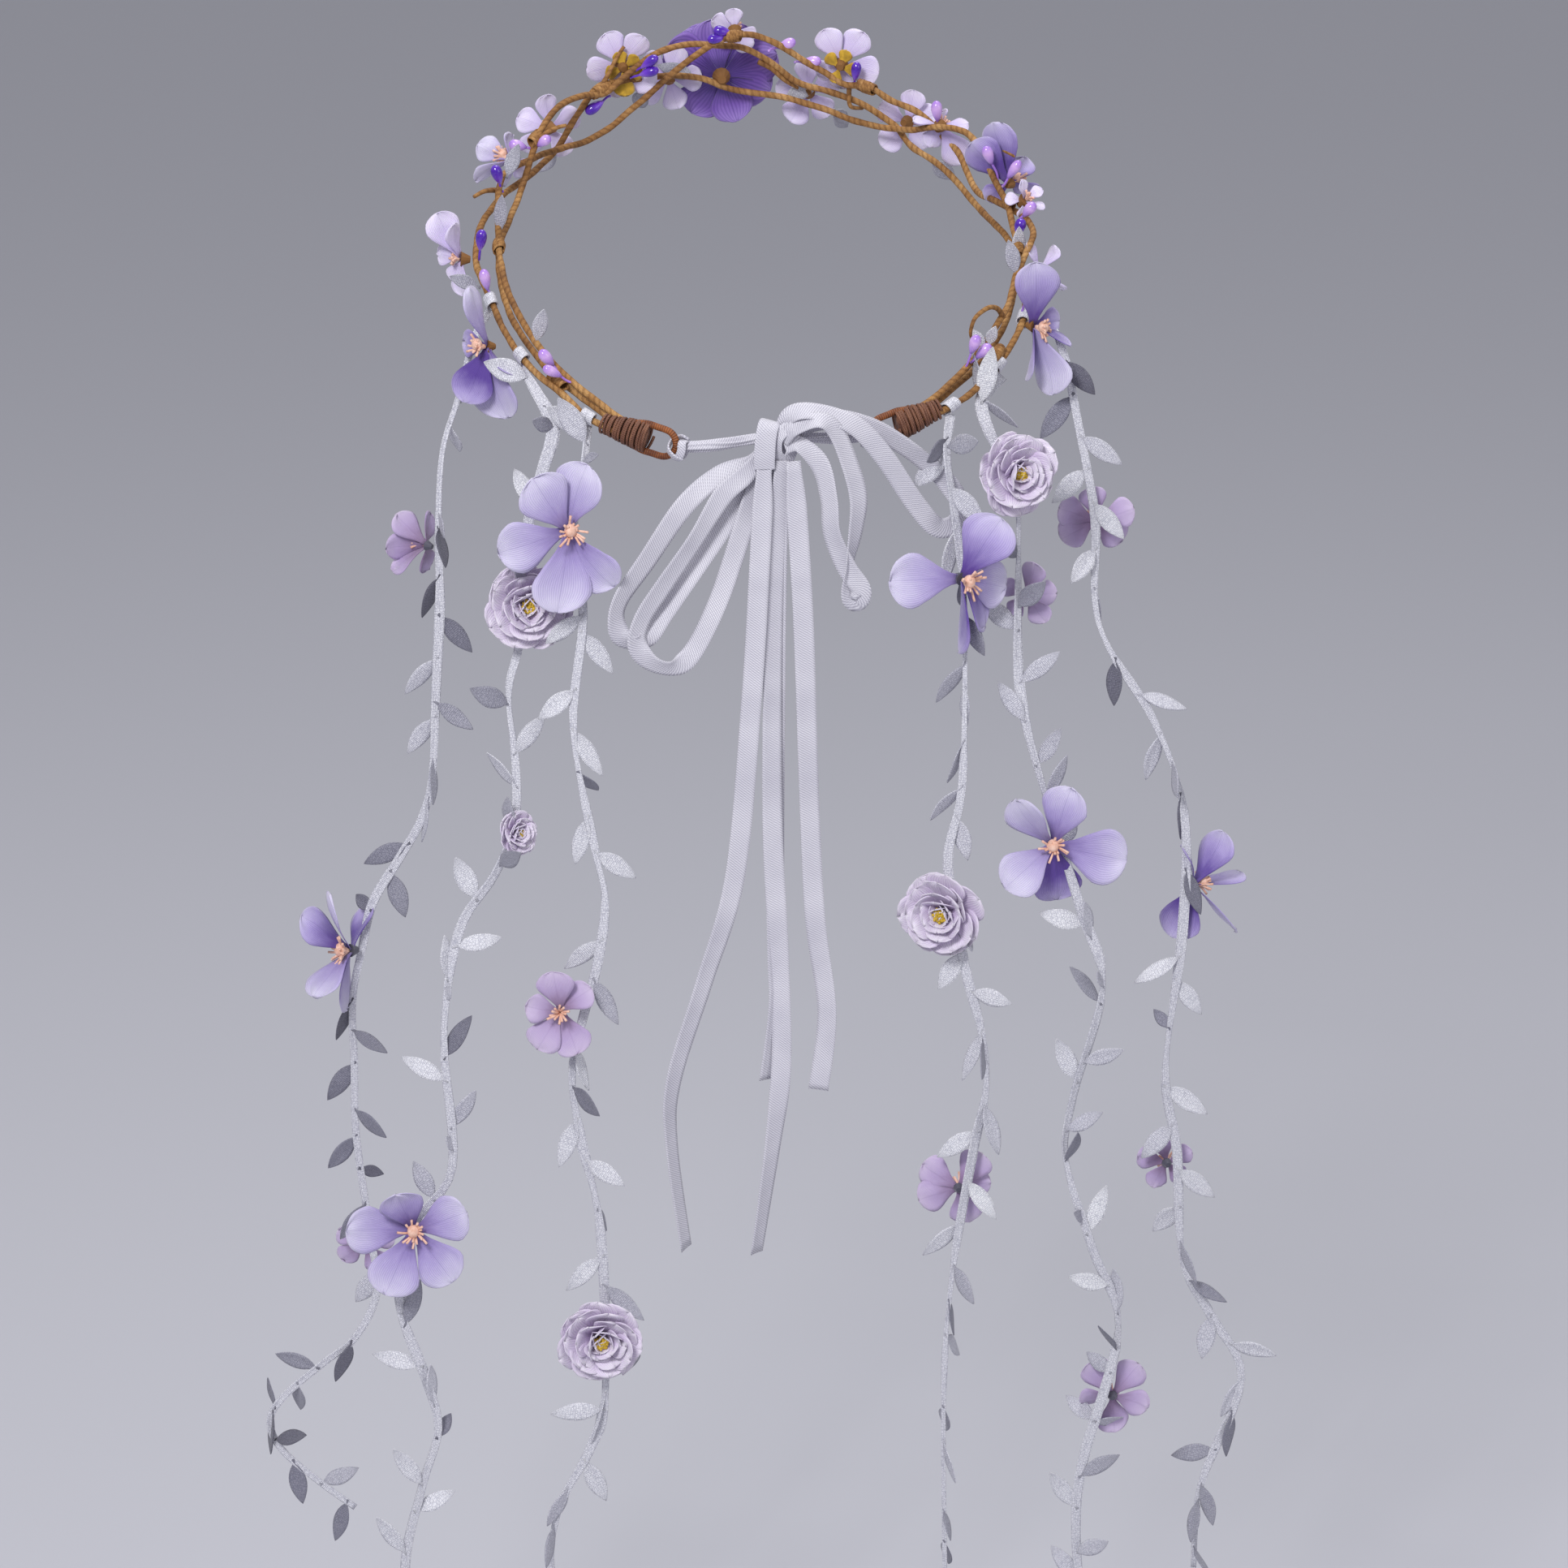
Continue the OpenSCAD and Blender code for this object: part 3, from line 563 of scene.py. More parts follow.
def pearlBud():  # lacquered pith bud: glossy, dyed dark at the tip
    mat, tree, shader = newMaterial("lacqueredPithBud", Roughness=0.22)
    shader.inputs["Coat Weight"].default_value = 0.5
    shader.inputs["Coat Roughness"].default_value = 0.12
    uv = uvOf(tree)
    along = addNode(tree, "SeparateXYZ", Vector=uv).outputs[1]
    cloud = clouds(tree, uv, 4.0, 2)
    run = swayed(tree, along, cloud, 0.3)
    pale = ramp(tree, run, (0.0, "#6a3fb4"), (0.3, "#b58fe0"), (0.7, "#cfa9e4"), (1.0, "#a376d6"))
    deep = ramp(tree, run, (0.0, "#9a76d8"), (0.35, "#6a35c4"), (0.75, "#43149c"), (1.0, "#5a27b4"))
    isDeep = ramp(tree, tintAndShadeOf(tree), (0.45, 0.0), (0.55, 1.0))
    paint(tree, shader, blendColour(tree, "MIX", isDeep, pale, deep))
    bumped(tree, shader, cloud, 0.15, 0.3)
    return mat


def plainDyed(name, low, high, rough, grain, sheen=0.1):  # one dyed stuff, mottled; grain is blotches a metre
    mat, tree, shader = newMaterial(name, Roughness=rough)
    shader.inputs["Sheen Weight"].default_value = sheen
    spot = addNode(tree, "TexCoord").outputs["Object"]
    cloud = clouds(tree, spot, grain, 3)
    paint(tree, shader, ramp(tree, cloud, (0.3, low), (0.7, high)))
    bumped(tree, shader, cloud, 0.12, 0.5)
    return mat


paperWrap = kraftPaperWrap()
eyeThread = threadWrap()
twineMaterial = waxedTwine()
satin = satinRibbon()
silverCloth = foiledCloth()
lilacPetal = petalCloth("dyedPetalCloth", "#5a3c97", "#a798cc", "#d4cee6", "#b3abcf")
paleLilacPetal = petalCloth("palePetalCloth", "#94789f", "#bba7cf", "#d3c4df", "#b3a2c6", ribs=34)
violetPetal = petalCloth("deepPetalCloth", "#4a2a86", "#7350a8", "#9a80c6", "#6a4bb0", ribs=12)
paperPetal = petalCloth("pressedPaperPetal", "#a98bbd", "#d2c3de", "#e6dfec", "#cbbcd8", ribs=16)
whitePetal = petalCloth("sheerPetalCloth", "#a98fcf", "#cdbfe6", "#e4dbf2", "#b8a8d8", ribs=22)
peachPith = plainDyed("dyedPithStamen", "#d9a48c", "#efc8b6", 0.6, 700)
mustardPith = plainDyed("yellowPithCentre", "#a8860c", "#d9b82e", 0.5, 900)
mustardFelt = plainDyed("pressedFeltSepal", "#9a7710", "#cfa428", 0.75, 500, 0.4)
budLacquer = pearlBud()
print("materials made")


# garland routes: millimetres from the tie, and where the tie is on the hoop

garlands = {
    "l1": {
        "tie": (283, 5, 0),
        "route": [
            (0, 0, -3), (-6, -5, -12), (-12, -9, -32), (-18, -14, -50), (-20, -19, -76), (-20, -22, -102),
            (-22, -26, -132), (-24, -30, -162), (-28, -32, -178), (-36, -33, -192), (-46, -35, -208),
            (-50, -36, -224), (-54, -36, -244), (-54, -36, -268), (-54, -36, -296), (-50, -36, -334),
            (-48, -36, -356), (-56, -36, -374), (-68, -36, -384), (-82, -36, -396), (-88, -36, -406),
            (-84, -36, -418), (-70, -36, -432), (-58, -36, -442)],
        "widths": [
            (0, 0.8), (50, 0.55), (90, 0.8), (105, 1.1), (135, 1), (160, 0.75), (200, 1.05), (240, 0.8),
            (300, 0.8), (360, 0.85), (400, 0.8), (440, 0.7)],
        "leaves": [
            (19, -10, 18, 3, 7), (41, 10, 13, 3.5, 8), (73, 15, 8, 2, 6), (76, 15, 13, 3.5, 1),
            (92, -25, 17, 4.5, 1), (106, 40, 18, 6.5, 3), (121, -45, 18, 5.5, 8), (136, 50, 17, 5.5, 5),
            (144, -40, 17, 5.5, 8), (159, 0, 15, 3, 6), (171, -10, 16, 2.5, 7), (187, -65, 18, 6.5, 4),
            (196, 15, 19, 7, 5), (210, -135, 7, 5, 2), (244, -25, 17, 4, 1), (256, 55, 15, 4.5, 3),
            (268, -35, 18, 6.5, 3), (285, 50, 15, 5, 4), (296, -40, 17, 5.5, 4), (310, 70, 9, 4.5, 2),
            (325, -35, 16, 5.5, 4), (351, -35, 15, 7, 8), (376, -20, 18, 5, 2), (385, -115, 17, 5.5, 5),
            (393, 0, 14, 5, 5), (401, -170, 10, 2, 3), (403, -5, 18, 2.5, 1), (413, 105, 14, 5, 2),
            (423, 10, 18, 6.5, 4), (432, 105, 13, 5.5, 6), (440, -15, 17, 5.5, 4)]},
    "l2": {
        "tie": (299, 5, 0),
        "route": [
            (-0.9, 1.3, -2.9), (4, -11, -9), (10, -19, -21), (6, -24, -35), (1, -25, -53), (1, -26, -71),
            (-3, -27, -96), (-7, -29, -113), (-5, -33, -138), (-6, -37, -158), (-13, -40, -175),
            (-26, -43, -195), (-32, -45, -233), (-30, -45, -282), (-44, -45, -304), (-50, -45, -332),
            (-41, -45, -363), (-37, -45, -383), (-43, -45, -405), (-50, -45, -437), (-45, -45, -463),
            (-41, -45, -483)],
        "widths": [
            (0, 0.9), (20, 1.5), (40, 1.2), (80, 1), (105, 0.9), (118, 0.6), (150, 1), (200, 1.1),
            (225, 0.7), (260, 1), (300, 0.9), (340, 0.9), (350, 1.2), (380, 0.9), (420, 1.15), (470, 1)],
        "leaves": [
            (6, -110, 17, 8, 9), (14, 40, 12, 3.5, 6), (21, -110, 9, 5.5, 5), (48, -155, 14, 6, 9),
            (74, -150, 11, 4.5, 8), (93, 85, 17, 6, 9), (116, -115, 15, 7.5, 5), (135, 145, 19, 6, 9),
            (146, -140, 16, 4, 8), (160, -170, 15, 3.5, 6), (173, 125, 11, 6.5, 5),
            (184, -155, 18, 7.5, 9), (199, 100, 18, 6, 9), (212, 180, 17, 4.5, 9), (222, 165, 6, 2.5, 8),
            (239, 150, 19, 5.5, 3), (252, -120, 19, 6, 9), (271, 150, 16, 5.5, 7), (273, -155, 7, 2, 8),
            (294, -150, 15, 6.5, 6), (336, 175, 8, 4, 8), (344, 160, 19, 5.5, 5), (356, -105, 19, 6, 9),
            (374, -170, 17, 3.5, 8), (386, 150, 9, 5, 3), (405, -145, 19, 6.5, 9), (417, 120, 17, 6, 9),
            (433, -145, 19, 6, 9), (441, 105, 14, 5, 8), (458, -140, 18, 6, 8), (472, 135, 18, 6.5, 8)]},
    "l3": {
        "tie": (319, 4, -3),
        "route": [
            (0, 0, -3), (-1, -6, -10), (-3, -11, -22), (-6, -14, -38), (-3, -16, -66), (-7, -20, -106),
            (0, -25, -149), (3, -27, -166), (0, -29, -189), (-9, -30, -225), (-7, -30, -251),
            (0, -30, -289), (1, -30, -352), (-5, -30, -374), (-16, -30, -396), (-19, -30, -419),
            (-15, -30, -446), (-11, -30, -466)],
        "widths": [
            (0, 0.9), (60, 0.95), (90, 1), (118, 0.55), (140, 1), (158, 0.6), (180, 1.1), (210, 1),
            (240, 0.7), (256, 1.2), (275, 0.65), (295, 1.15), (330, 1), (352, 0.7), (365, 1.2),
            (392, 0.8), (415, 0.5), (430, 1)],
        "leaves": [
            (5, -121, 17, 8, 9), (9, -150, 20, 8, 8), (14, 115, 6, 3, 5), (20, 30, 10, 4, 3),
            (50, 45, 14, 4.5, 9), (66, -55, 17, 5.5, 9), (75, 35, 19, 6.5, 9), (90, -50, 17, 6.5, 9),
            (106, 30, 20, 6, 9), (123, 35, 12, 4.5, 4), (135, -15, 19, 6, 9), (149, 55, 18, 6.5, 9),
            (179, -50, 18, 6, 9), (193, 25, 19, 6, 6), (221, 10, 17, 3.5, 9), (235, 50, 14, 5.5, 3),
            (247, -20, 20, 6.5, 9), (263, 55, 17, 6.5, 9), (283, 10, 11, 2, 5), (296, -45, 20, 6, 9),
            (313, 45, 20, 6, 6), (339, 105, 12, 5, 5), (352, -10, 21, 1.5, 8), (360, -85, 20, 6.5, 9),
            (377, 25, 19, 7, 9), (388, -25, 16, 4.5, 7), (404, -10, 13, 3.5, 6), (422, 35, 18, 6, 8),
            (438, -40, 18, 6, 9), (452, 30, 17, 6, 8)]},
    "r1": {
        "tie": (40, 4, 0),
        "route": [
            (0, 0, -3), (-2, -8, -15), (0, -12, -32), (3, -15, -56), (4, -17, -80), (3, -21, -131),
            (-2, -24, -158), (4, -28, -195), (10, -28, -219), (12, -28, -240), (8, -28, -262),
            (1, -28, -308), (-2, -28, -352), (-1, -28, -427), (0, -28, -458)],
        "widths": [
            (0, 1.1), (25, 1), (50, 0.9), (60, 0.5), (85, 0.5), (110, 0.55), (135, 0.9), (160, 1.1),
            (205, 1.1), (222, 0.75), (238, 0.6), (258, 1.2), (295, 1.05), (310, 0.6), (330, 0.4),
            (345, 0.8), (360, 0.5), (400, 0.5), (450, 0.5)],
        "leaves": [
            (10, -45, 11, 4.5, 3), (13, 100, 12, 7, 6), (15, -45, 17, 7, 8), (27, 40, 18, 7, 8),
            (40, -15, 21, 4.5, 9), (56, -5, 13, 2, 4), (72, 25, 16, 5.5, 5), (85, -35, 18, 5, 6),
            (98, 5, 16, 3, 7), (112, -20, 17, 2, 6), (131, -45, 17, 4, 7), (142, 15, 17, 6, 8),
            (162, -65, 17, 6, 7), (177, 30, 12, 3, 6), (191, -30, 17, 6.5, 9), (202, 75, 15, 6, 9),
            (219, -15, 20, 4.5, 8), (224, -5, 12, 2, 5), (245, 15, 21, 5, 8), (258, -55, 18, 6.5, 9),
            (278, 35, 19, 6, 10), (290, -45, 19, 5.5, 9), (308, 25, 14, 5, 6), (323, 10, 16, 2, 4),
            (333, 35, 13, 3.5, 7), (360, 15, 12, 3, 5), (380, 15, 15, 1.5, 7), (401, 15, 10, 2.5, 5),
            (420, 20, 12, 2, 4), (436, -20, 13, 3, 6), (450, 15, 12, 2.5, 5)]},
    "r2": {
        "tie": (55, 5, 0),
        "route": [
            (1, 1.1, -2.9), (-6, -8, -10), (-4, -13, -20), (4, -17, -36), (6, -18, -50), (6, -21, -96),
            (8, -24, -118), (14, -28, -142), (28, -35, -188), (36, -37, -216), (26, -37, -258),
            (24, -37, -282), (34, -37, -316), (44, -37, -348), (32, -37, -400), (30, -37, -426),
            (32, -37, -454)],
        "widths": [
            (0, 2.2), (12, 1.4), (30, 0.9), (60, 0.6), (75, 1), (110, 1.15), (135, 0.9), (150, 0.7),
            (185, 1.1), (205, 1.2), (213, 0.55), (228, 1.1), (260, 1), (282, 0.6), (300, 0.9), (330, 1.1),
            (346, 0.6), (358, 1.1), (400, 1.2), (450, 1)],
        "leaves": [
            (10, 50, 16, 3, 6), (10, -170, 16, 3, 6), (12, 170, 22, 7, 10), (66, -140, 12, 5.5, 3),
            (79, 135, 15, 7, 5), (91, -130, 17, 7, 7), (108, 130, 19, 6, 8), (121, -145, 18, 6, 8),
            (138, 145, 17, 5.5, 7), (147, 155, 18, 4.5, 7), (165, 145, 10, 5.5, 8),
            (192, -105, 18, 7, 10), (196, -165, 16, 4, 8), (216, -145, 8, 2, 7), (226, -145, 18, 4, 5),
            (243, 110, 16, 6, 8), (254, -155, 19, 7, 9), (270, 120, 16, 5, 7), (282, 160, 14, 3.5, 4),
            (303, -135, 5, 3, 5), (312, 160, 20, 6.5, 10), (331, -105, 16, 6.5, 10),
            (339, 180, 19, 4.5, 8), (360, -155, 15, 3, 3), (362, -130, 10, 5.5, 6), (382, 80, 13, 4, 7),
            (388, -130, 13, 6, 7), (408, 125, 18, 6, 6), (420, -145, 19, 6.5, 9), (434, 120, 13, 6.5, 8),
            (448, -140, 17, 6, 8)]},
    "r3": {
        "tie": (70, 5, 0),
        "route": [
            (0, 0, -3), (9, 3, -4), (14, 0, -13), (19, -4, -37), (25, -9, -71), (25, -13, -100),
            (30, -16, -117), (46, -19, -143), (57, -23, -176), (57, -26, -221), (52, -26, -273),
            (57, -26, -305), (60, -26, -347), (71, -26, -370), (83, -26, -396), (69, -26, -438),
            (67, -26, -472)],
        "widths": [
            (0, 0.8), (20, 0.9), (45, 0.9), (75, 1.1), (100, 0.7), (112, 0.5), (130, 1), (150, 0.7),
            (165, 0.5), (175, 1), (230, 1.2), (262, 0.6), (285, 1.1), (330, 1.1), (340, 0.7), (365, 1.1),
            (395, 0.9), (420, 1.1), (445, 0.7), (470, 0.6)],
        "leaves": [
            (15, 40, 16, 6.5, 1), (27, -35, 20, 7, 4), (41, 55, 19, 6.5, 8), (54, -45, 18, 7, 9),
            (67, 40, 18, 6.5, 9), (79, -35, 15, 6.5, 9), (97, 10, 15, 2.5, 6), (120, 0, 18, 5.5, 2),
            (132, 75, 19, 5, 8), (147, -20, 18, 5, 8), (158, 10, 11, 2, 6), (171, 5, 18, 4, 2),
            (197, 15, 18, 5.5, 3), (234, -55, 20, 5, 9), (241, 35, 17, 6.5, 9), (261, -140, 8, 4.5, 4),
            (282, 55, 19, 7, 9), (293, -40, 18, 7, 8), (315, 50, 19, 7, 9), (327, -40, 14, 7, 9),
            (343, 20, 15, 3, 6), (354, 55, 15, 4.5, 4), (370, -10, 18, 7, 8), (382, 80, 18, 5.5, 9),
            (396, -30, 17, 5, 8), (411, -5, 19, 4.5, 4), (422, -80, 17, 6.5, 5), (438, 20, 15, 5, 5),
            (443, -10, 15, 4, 5), (464, 20, 12, 3, 5)]}}

vine = {"stemWidth": 3.3, "stemThick": 0.4, "leafLong": 16.5, "leafLeast": 6.2, "tipLeast": 4.5,
        "leafThick": 0.35, "tieOut": 2.1, "tieHalf": 2.0, "tieTurns": 1.9, "tieWidth": 2.8, "tieThick": 0.45}
viewTurn = math.radians(view["turn"])
viewRight = Vector((math.cos(viewTurn), math.sin(viewTurn), 0))
viewOut = Vector((math.sin(viewTurn), -math.cos(viewTurn), 0.25)).normalized()


def between(table, x):  # eased from each (x, value) pair to the next
    for (a, va), (b, vb) in zip(table, table[1:]):
        if x <= b:
            return va + (vb - va) * ease((x - a) / (b - a))
    return table[-1][1]


def leafShape(long, wide, bend, fold, curl, lift):
    def at(s, t):
        run = 1 - (1 - t) ** 1.2
        blade = min(1, max(0, (run - 0.1) / 0.9))
        half = wide / 2 * math.sin(math.pi * min(1, blade ** 0.86)) ** 0.8 if 0 < blade < 1 else 0
        half = max(half, 0.6 * (1 - ease(run * 4)), 0.06)
        y = (s * 2 - 1) * half
        z = bend * run * run * long + fold * abs(y) + curl * y * run + lift * math.sin(run * 7) * 0.25
        return Vector((long * run, y, z)) * mm
    return at


def addLeaf(bm, base, ahead, facing, rng, long, wide, tintAndShade):
    bend, fold = rng.uniform(-0.1, 0.14), rng.uniform(-0.1, 0.2)
    curl, lift = rng.uniform(-0.22, 0.22), rng.uniform(-1, 1)
    shape = leafShape(long, wide, bend, fold, curl, lift)
    matrix = setOn(base, ahead, facing)
    shift = rng.uniform(0, 40)
    lay(bm, gridOf(bm, 6, 12), lambda s, t: matrix @ shape(s, t),
        lambda s, t: (s * wide + shift, t * long + shift), tintAndShade)


# row: lean from straight down, seen length and width, painted light and shade out of ten; short rows are leaves seen
# end on
def leafOn(bm, base, row, rng):
    lean, long, wide, shade = row
    a = math.radians(lean)
    full = max(long, vine["leafLong"]) if long > 10 else long + 2
    away = math.acos(min(1, long / full)) * rng.choice((1, 1, -1))
    flat = viewRight * math.sin(a) - Vector((0, 0, math.cos(a)))
    ahead = flat * math.cos(away) + viewOut * math.sin(away)
    broad = max(wide, vine["leafLeast"] if long > 10 else vine["tipLeast"])
    roll = math.acos(min(1, wide / broad)) * rng.choice((1, -1))
    side = ahead.cross(viewOut).normalized()
    facing = (side.cross(ahead) * math.cos(roll) + side * math.sin(roll)).normalized()
    addLeaf(bm, base - ahead * 0.8 * mm, ahead, facing, rng, full, broad, shade / 10)


def makeGarland(name, g, seed):
    rng = random.Random(seed)
    tie = onHoop(*g["tie"])
    route = [tie + p * mm for p in smoothRoute(g["route"], 6)]
    runs = alongRoute(route)
    body, label = "garland_" + name, name.upper()
    normals, widths = [], []
    for i, p in enumerate(route):  # the strip turns from side to side, and looks narrow where it turns
        sway = noise.noise(Vector((i * 0.06, seed, 0))) * 1.3
        normals.append(Vector((math.sin(sway), -math.cos(sway), 0.12)))
        widths.append(vine["stemWidth"] * between(g["widths"], (tie.z - p.z) / mm) * mm)

    def widthAt(share):
        return widths[min(len(widths) - 1, sum(r < share * runs[-1] for r in runs))]

    bm = newMesh()
    tape(bm, route, widthAt, normals, 4, 0.25 * mm, 0.85)
    stem = finishPiece(bm, "vineStem" + label, silverCloth, body, ["stem_" + name], "silver_cloth",
                       solid=vine["stemThick"])

    bm = newMesh()
    for down, lean, long, wide, shade in g["leaves"]:
        i = min(range(len(route)), key=lambda k: abs((tie.z - route[k].z) / mm - down))
        leafOn(bm, route[i], (lean, long, wide, shade), rng)
    leaves = finishPiece(bm, "vineLeaves" + label, silverCloth, body, ["leaves_" + name], "silver_cloth",
                         solid=vine["leafThick"])

    bm = newMesh()  # the vine's end is wound twice round the wire and tucked in
    angle, out, up = g["tie"]
    place = setOn(tie, onHoop(angle + 1, out, up) - onHoop(angle - 1, out, up), (0, 0, 1))
    turns, normals, steps = [], [], 40
    for i in range(steps + 1):
        a = 2 * math.pi * vine["tieTurns"] * i / steps
        outward = Vector((0, math.sin(a), -math.cos(a)))
        sideways = Vector((vine["tieHalf"] * (2 * i / steps - 1), 0, 0))
        turns.append(place @ ((sideways + outward * vine["tieOut"]) * mm))
        normals.append(place.to_3x3() @ outward)
    tape(bm, turns, vine["tieWidth"] * mm, normals, 4, 0, 0.85)
    wrap = finishPiece(bm, "vineTie" + label, silverCloth, body, ["tie_" + name], "silver_cloth",
                       solid=vine["tieThick"])
    return {"stem": stem, "leaves": leaves, "wrap": wrap, "route": route, "tie": tie, "length": runs[-1],
            "body": body}


built = {name: makeGarland(name, g, 10 + i) for i, (name, g) in enumerate(garlands.items())}
print("vines made")


# ribbon: hitches, runs, knot, loops and tails; points are millimetres from the knot

ribbon = {"width": 7.0, "thick": 0.3, "knot": (0, -80, -48), "gathered": 0.7, "gatherOver": 16}
knot = Vector(ribbon["knot"]) * mm

# each length: points, and the way the cloth faces at each point
ribbonLengths = {
    "loopLeftOuter": {
        "node": "loop_left_outer",
        "points": [
            (-3, -1, -2), (-8, -2, -8), (-19, -2, -12), (-31, -3, -22), (-44, -3, -41), (-53, -4, -54),
            (-55, -5, -62), (-52, -5, -69), (-45, -4, -69), (-38, -2, -60), (-29, -1, -47), (-18, 0, -31),
            (-10, 0, -18), (-4, -1, -6)],
        "faces": [
            (0, -1, 0), (0.3, -1, 0.5), (0.3, -1, 0.9), (0.5, -1, 0.9), (0.7, -1, 0.6), (0.8, -1, 0.2),
            (0.6, -1, -0.3), (0.1, -1, -0.7), (-0.5, -1, -0.6), (-0.5, -1, 0.2), (-0.3, -1, 0.3),
            (-0.2, -1, 0.2), (0, -1, 0), (0, -1, 0)]},
    "loopLeftInner": {
        "node": "loop_left_inner",
        "points": [
            (-3, -3, -3), (-10, -4, -11), (-18, -5, -18), (-28, -6, -34), (-39, -6, -50), (-46, -6, -61),
            (-48, -6, -70), (-43, -6, -77), (-35, -5, -79), (-28, -4, -73), (-20, -3, -57),
            (-14, -2, -40), (-9, -2, -24), (-4, -2, -8)],
        "faces": [
            (0, -1, 0), (0.3, -1, 0.4), (0.6, -1, 0.8), (1.0, -0.8, 0.8), (0.8, -1, 0.5), (0.6, -1, 0.2),
            (0.4, -1, -0.2), (0, -1, -0.6), (-0.4, -1, -0.5), (-0.6, -1, 0.1), (-0.5, -1, 0.2),
            (-0.3, -1, 0.2), (0, -1, 0), (0, -1, 0)]},
    "loopRightLong": {
        "node": "loop_right_long",
        "points": [
            (2, -1, 0), (4, -3, 8), (10, -4, 10.5), (20, -3, 8), (29, -2, 3), (38, 0, -8), (48, 4, -24),
            (56, 7, -34), (62, 9, -34), (65, 10, -28), (60, 9, -19), (52, 8, -11), (42, 5, -3),
            (32, 2, 3), (20, 1, 6), (8, 1, 3)],
        "faces": [
            (0, -1, 0.2), (-0.4, -1, 0.6), (0, -0.8, 1), (0.1, -1, 0.9), (0, -1, 0.5), (-0.2, -1, 0.3),
            (-0.2, -1, 0.3), (0, -1, 0.3), (0.4, -1, 0), (0.8, -1, 0.2), (0.5, -1, -0.9), (0.3, -1, -0.9),
            (0, -1, -0.4), (0, -1, 0), (0, -1, 0.2), (0, -1, 0)]},
    "loopRightShort": {
        "node": "loop_right_short",
        "points": [
            (2, -4, 0), (6, -6, 5), (14, -7, 8), (20, -6, 4), (25, -6, -8), (28, -6, -20), (27, -6, -32),
            (25, -6, -44), (25, -6, -53), (27.5, -6.5, -57), (29, -7, -52), (24, -7, -44), (19, -7, -32),
            (18, -7, -20), (15, -6, -8), (8, -5, -1), (3, -4, -2)],
        "faces": [
            (0, -1, 0.3), (-0.3, -1, 0.8), (0, -0.7, 1), (0.6, -1, 0.5), (0.6, -1, 0.2), (0.5, -1, 0),
            (0.9, -1, 0), (1, -0.5, 0), (0.6, -1, 0), (0, -1, -0.4), (-0.2, -1, 0), (-0.3, -1, 0.1),
            (-0.7, -1, 0), (-0.8, -1, 0.1), (-0.5, -1, 0.3), (0, -1, 0.5), (0, -1, 0)]}}
tailLengths = {
    "tail1": {
        "node": "tail_1",
        "points": [
            (-4, -4.9, -7.4), (-6, -8, -44), (-9, -11, -90), (-15, -14, -152), (-26, -16, -190),
            (-37, -17, -226), (-38, -17, -250), (-33, -17, -290)],
        "faces": [
            (0, -1, 0), (-0.1, -1, 0), (-0.2, -1, 0), (0.1, -1, 0), (0.5, -1, 0), (0.7, -1, 0),
            (1.3, -1, 0), (1.6, -1, 0)]},
    "tail2": {
        "node": "tail_2",
        "points": [
            (2.2, -3, -7), (-1, -7, -60), (-2, -12, -129), (0, -15, -180), (1, -15.5, -220),
            (-2, -16, -250), (-8, -16, -293)],
        "faces": [
            (0.2, -1, 0), (0.4, -1, 0), (0.2, -1, 0), (-0.2, -1, 0), (-0.3, -1, 0), (0.6, -1, 0),
            (1.2, -1, 0)]},
    "tail3": {
        "node": "tail_3",
        "points": [
            (1.5, -2, -7), (0, -5, -60), (-1, -9.6, -129), (-1, -13.5, -180), (-1, -14, -200),
            (-4, -14, -228)],
        "faces": [(-0.2, -1, 0), (-0.3, -1, 0), (0.2, -1, 0), (0.6, -1, 0), (0.9, -1, 0), (0.7, -1, 0)]},
    "tail4": {
        "node": "tail_4",
        "points": [
            (6, -4, -7), (9, -8, -60), (11, -12, -129), (13, -14, -170), (17, -15, -203), (14, -15, -232)],
        "faces": [(0.1, -1, 0), (0, -1, 0), (0.2, -1, 0), (-0.1, -1, 0), (-0.5, -1, 0), (-0.1, -1, 0)]}}


def makeRibbon(name, spec, body):
    route = [knot + p * mm for p in smoothRoute(spec["points"], 8)]
    facing = [v.normalized() for v in smoothRoute(spec["faces"], 8)]
    full = alongRoute(route)[-1] / mm

    def wide(share):  # the cloth is gathered where it enters the knot: loops at both ends, tails at one
        out = share * full
        if body == "crown":
            out = min(out, full - out)
        spread = ease(out / ribbon["gatherOver"])
        return ribbon["width"] * mm * (ribbon["gathered"] + (1 - ribbon["gathered"]) * spread)

    bm = newMesh()
    tape(bm, route, wide, facing, 6, 0.25 * mm)
    piece = finishPiece(bm, name, satin, body, [spec["node"]], "ribbon", solid=ribbon["thick"])
    return piece, route


for name, spec in ribbonLengths.items():
    piece, route = makeRibbon(name, spec, "crown")
    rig.cord(piece, exit=route[0], length=alongRoute(route)[-1], diameter=ribbon["width"] * mm,
            far_end="object", stiffness="limp", lay="hanging", path=route)
for name, spec in tailLengths.items():
    piece, route = makeRibbon(name, spec, "ribbon_tails")
    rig.cord(piece, exit=route[0], length=alongRoute(route)[-1], diameter=ribbon["width"] * mm, far_end="bare",
            stiffness="limp", lay="hanging", path=route)
print("ribbon lengths made")


# eyes, bindings and hitches

eyes = {"wire": 2.4, "width": 12, "straight": 12,
        "left": {"at": (332, 0, -4), "run": (52, -20, -14)},
        "right": {"at": (28, 0, 0), "run": (-52, -20, -14)}}
binding = {"long": 17, "wide": 11, "tip": 7.5, "twine": 0.95, "turns": 15, "flat": 0.66}


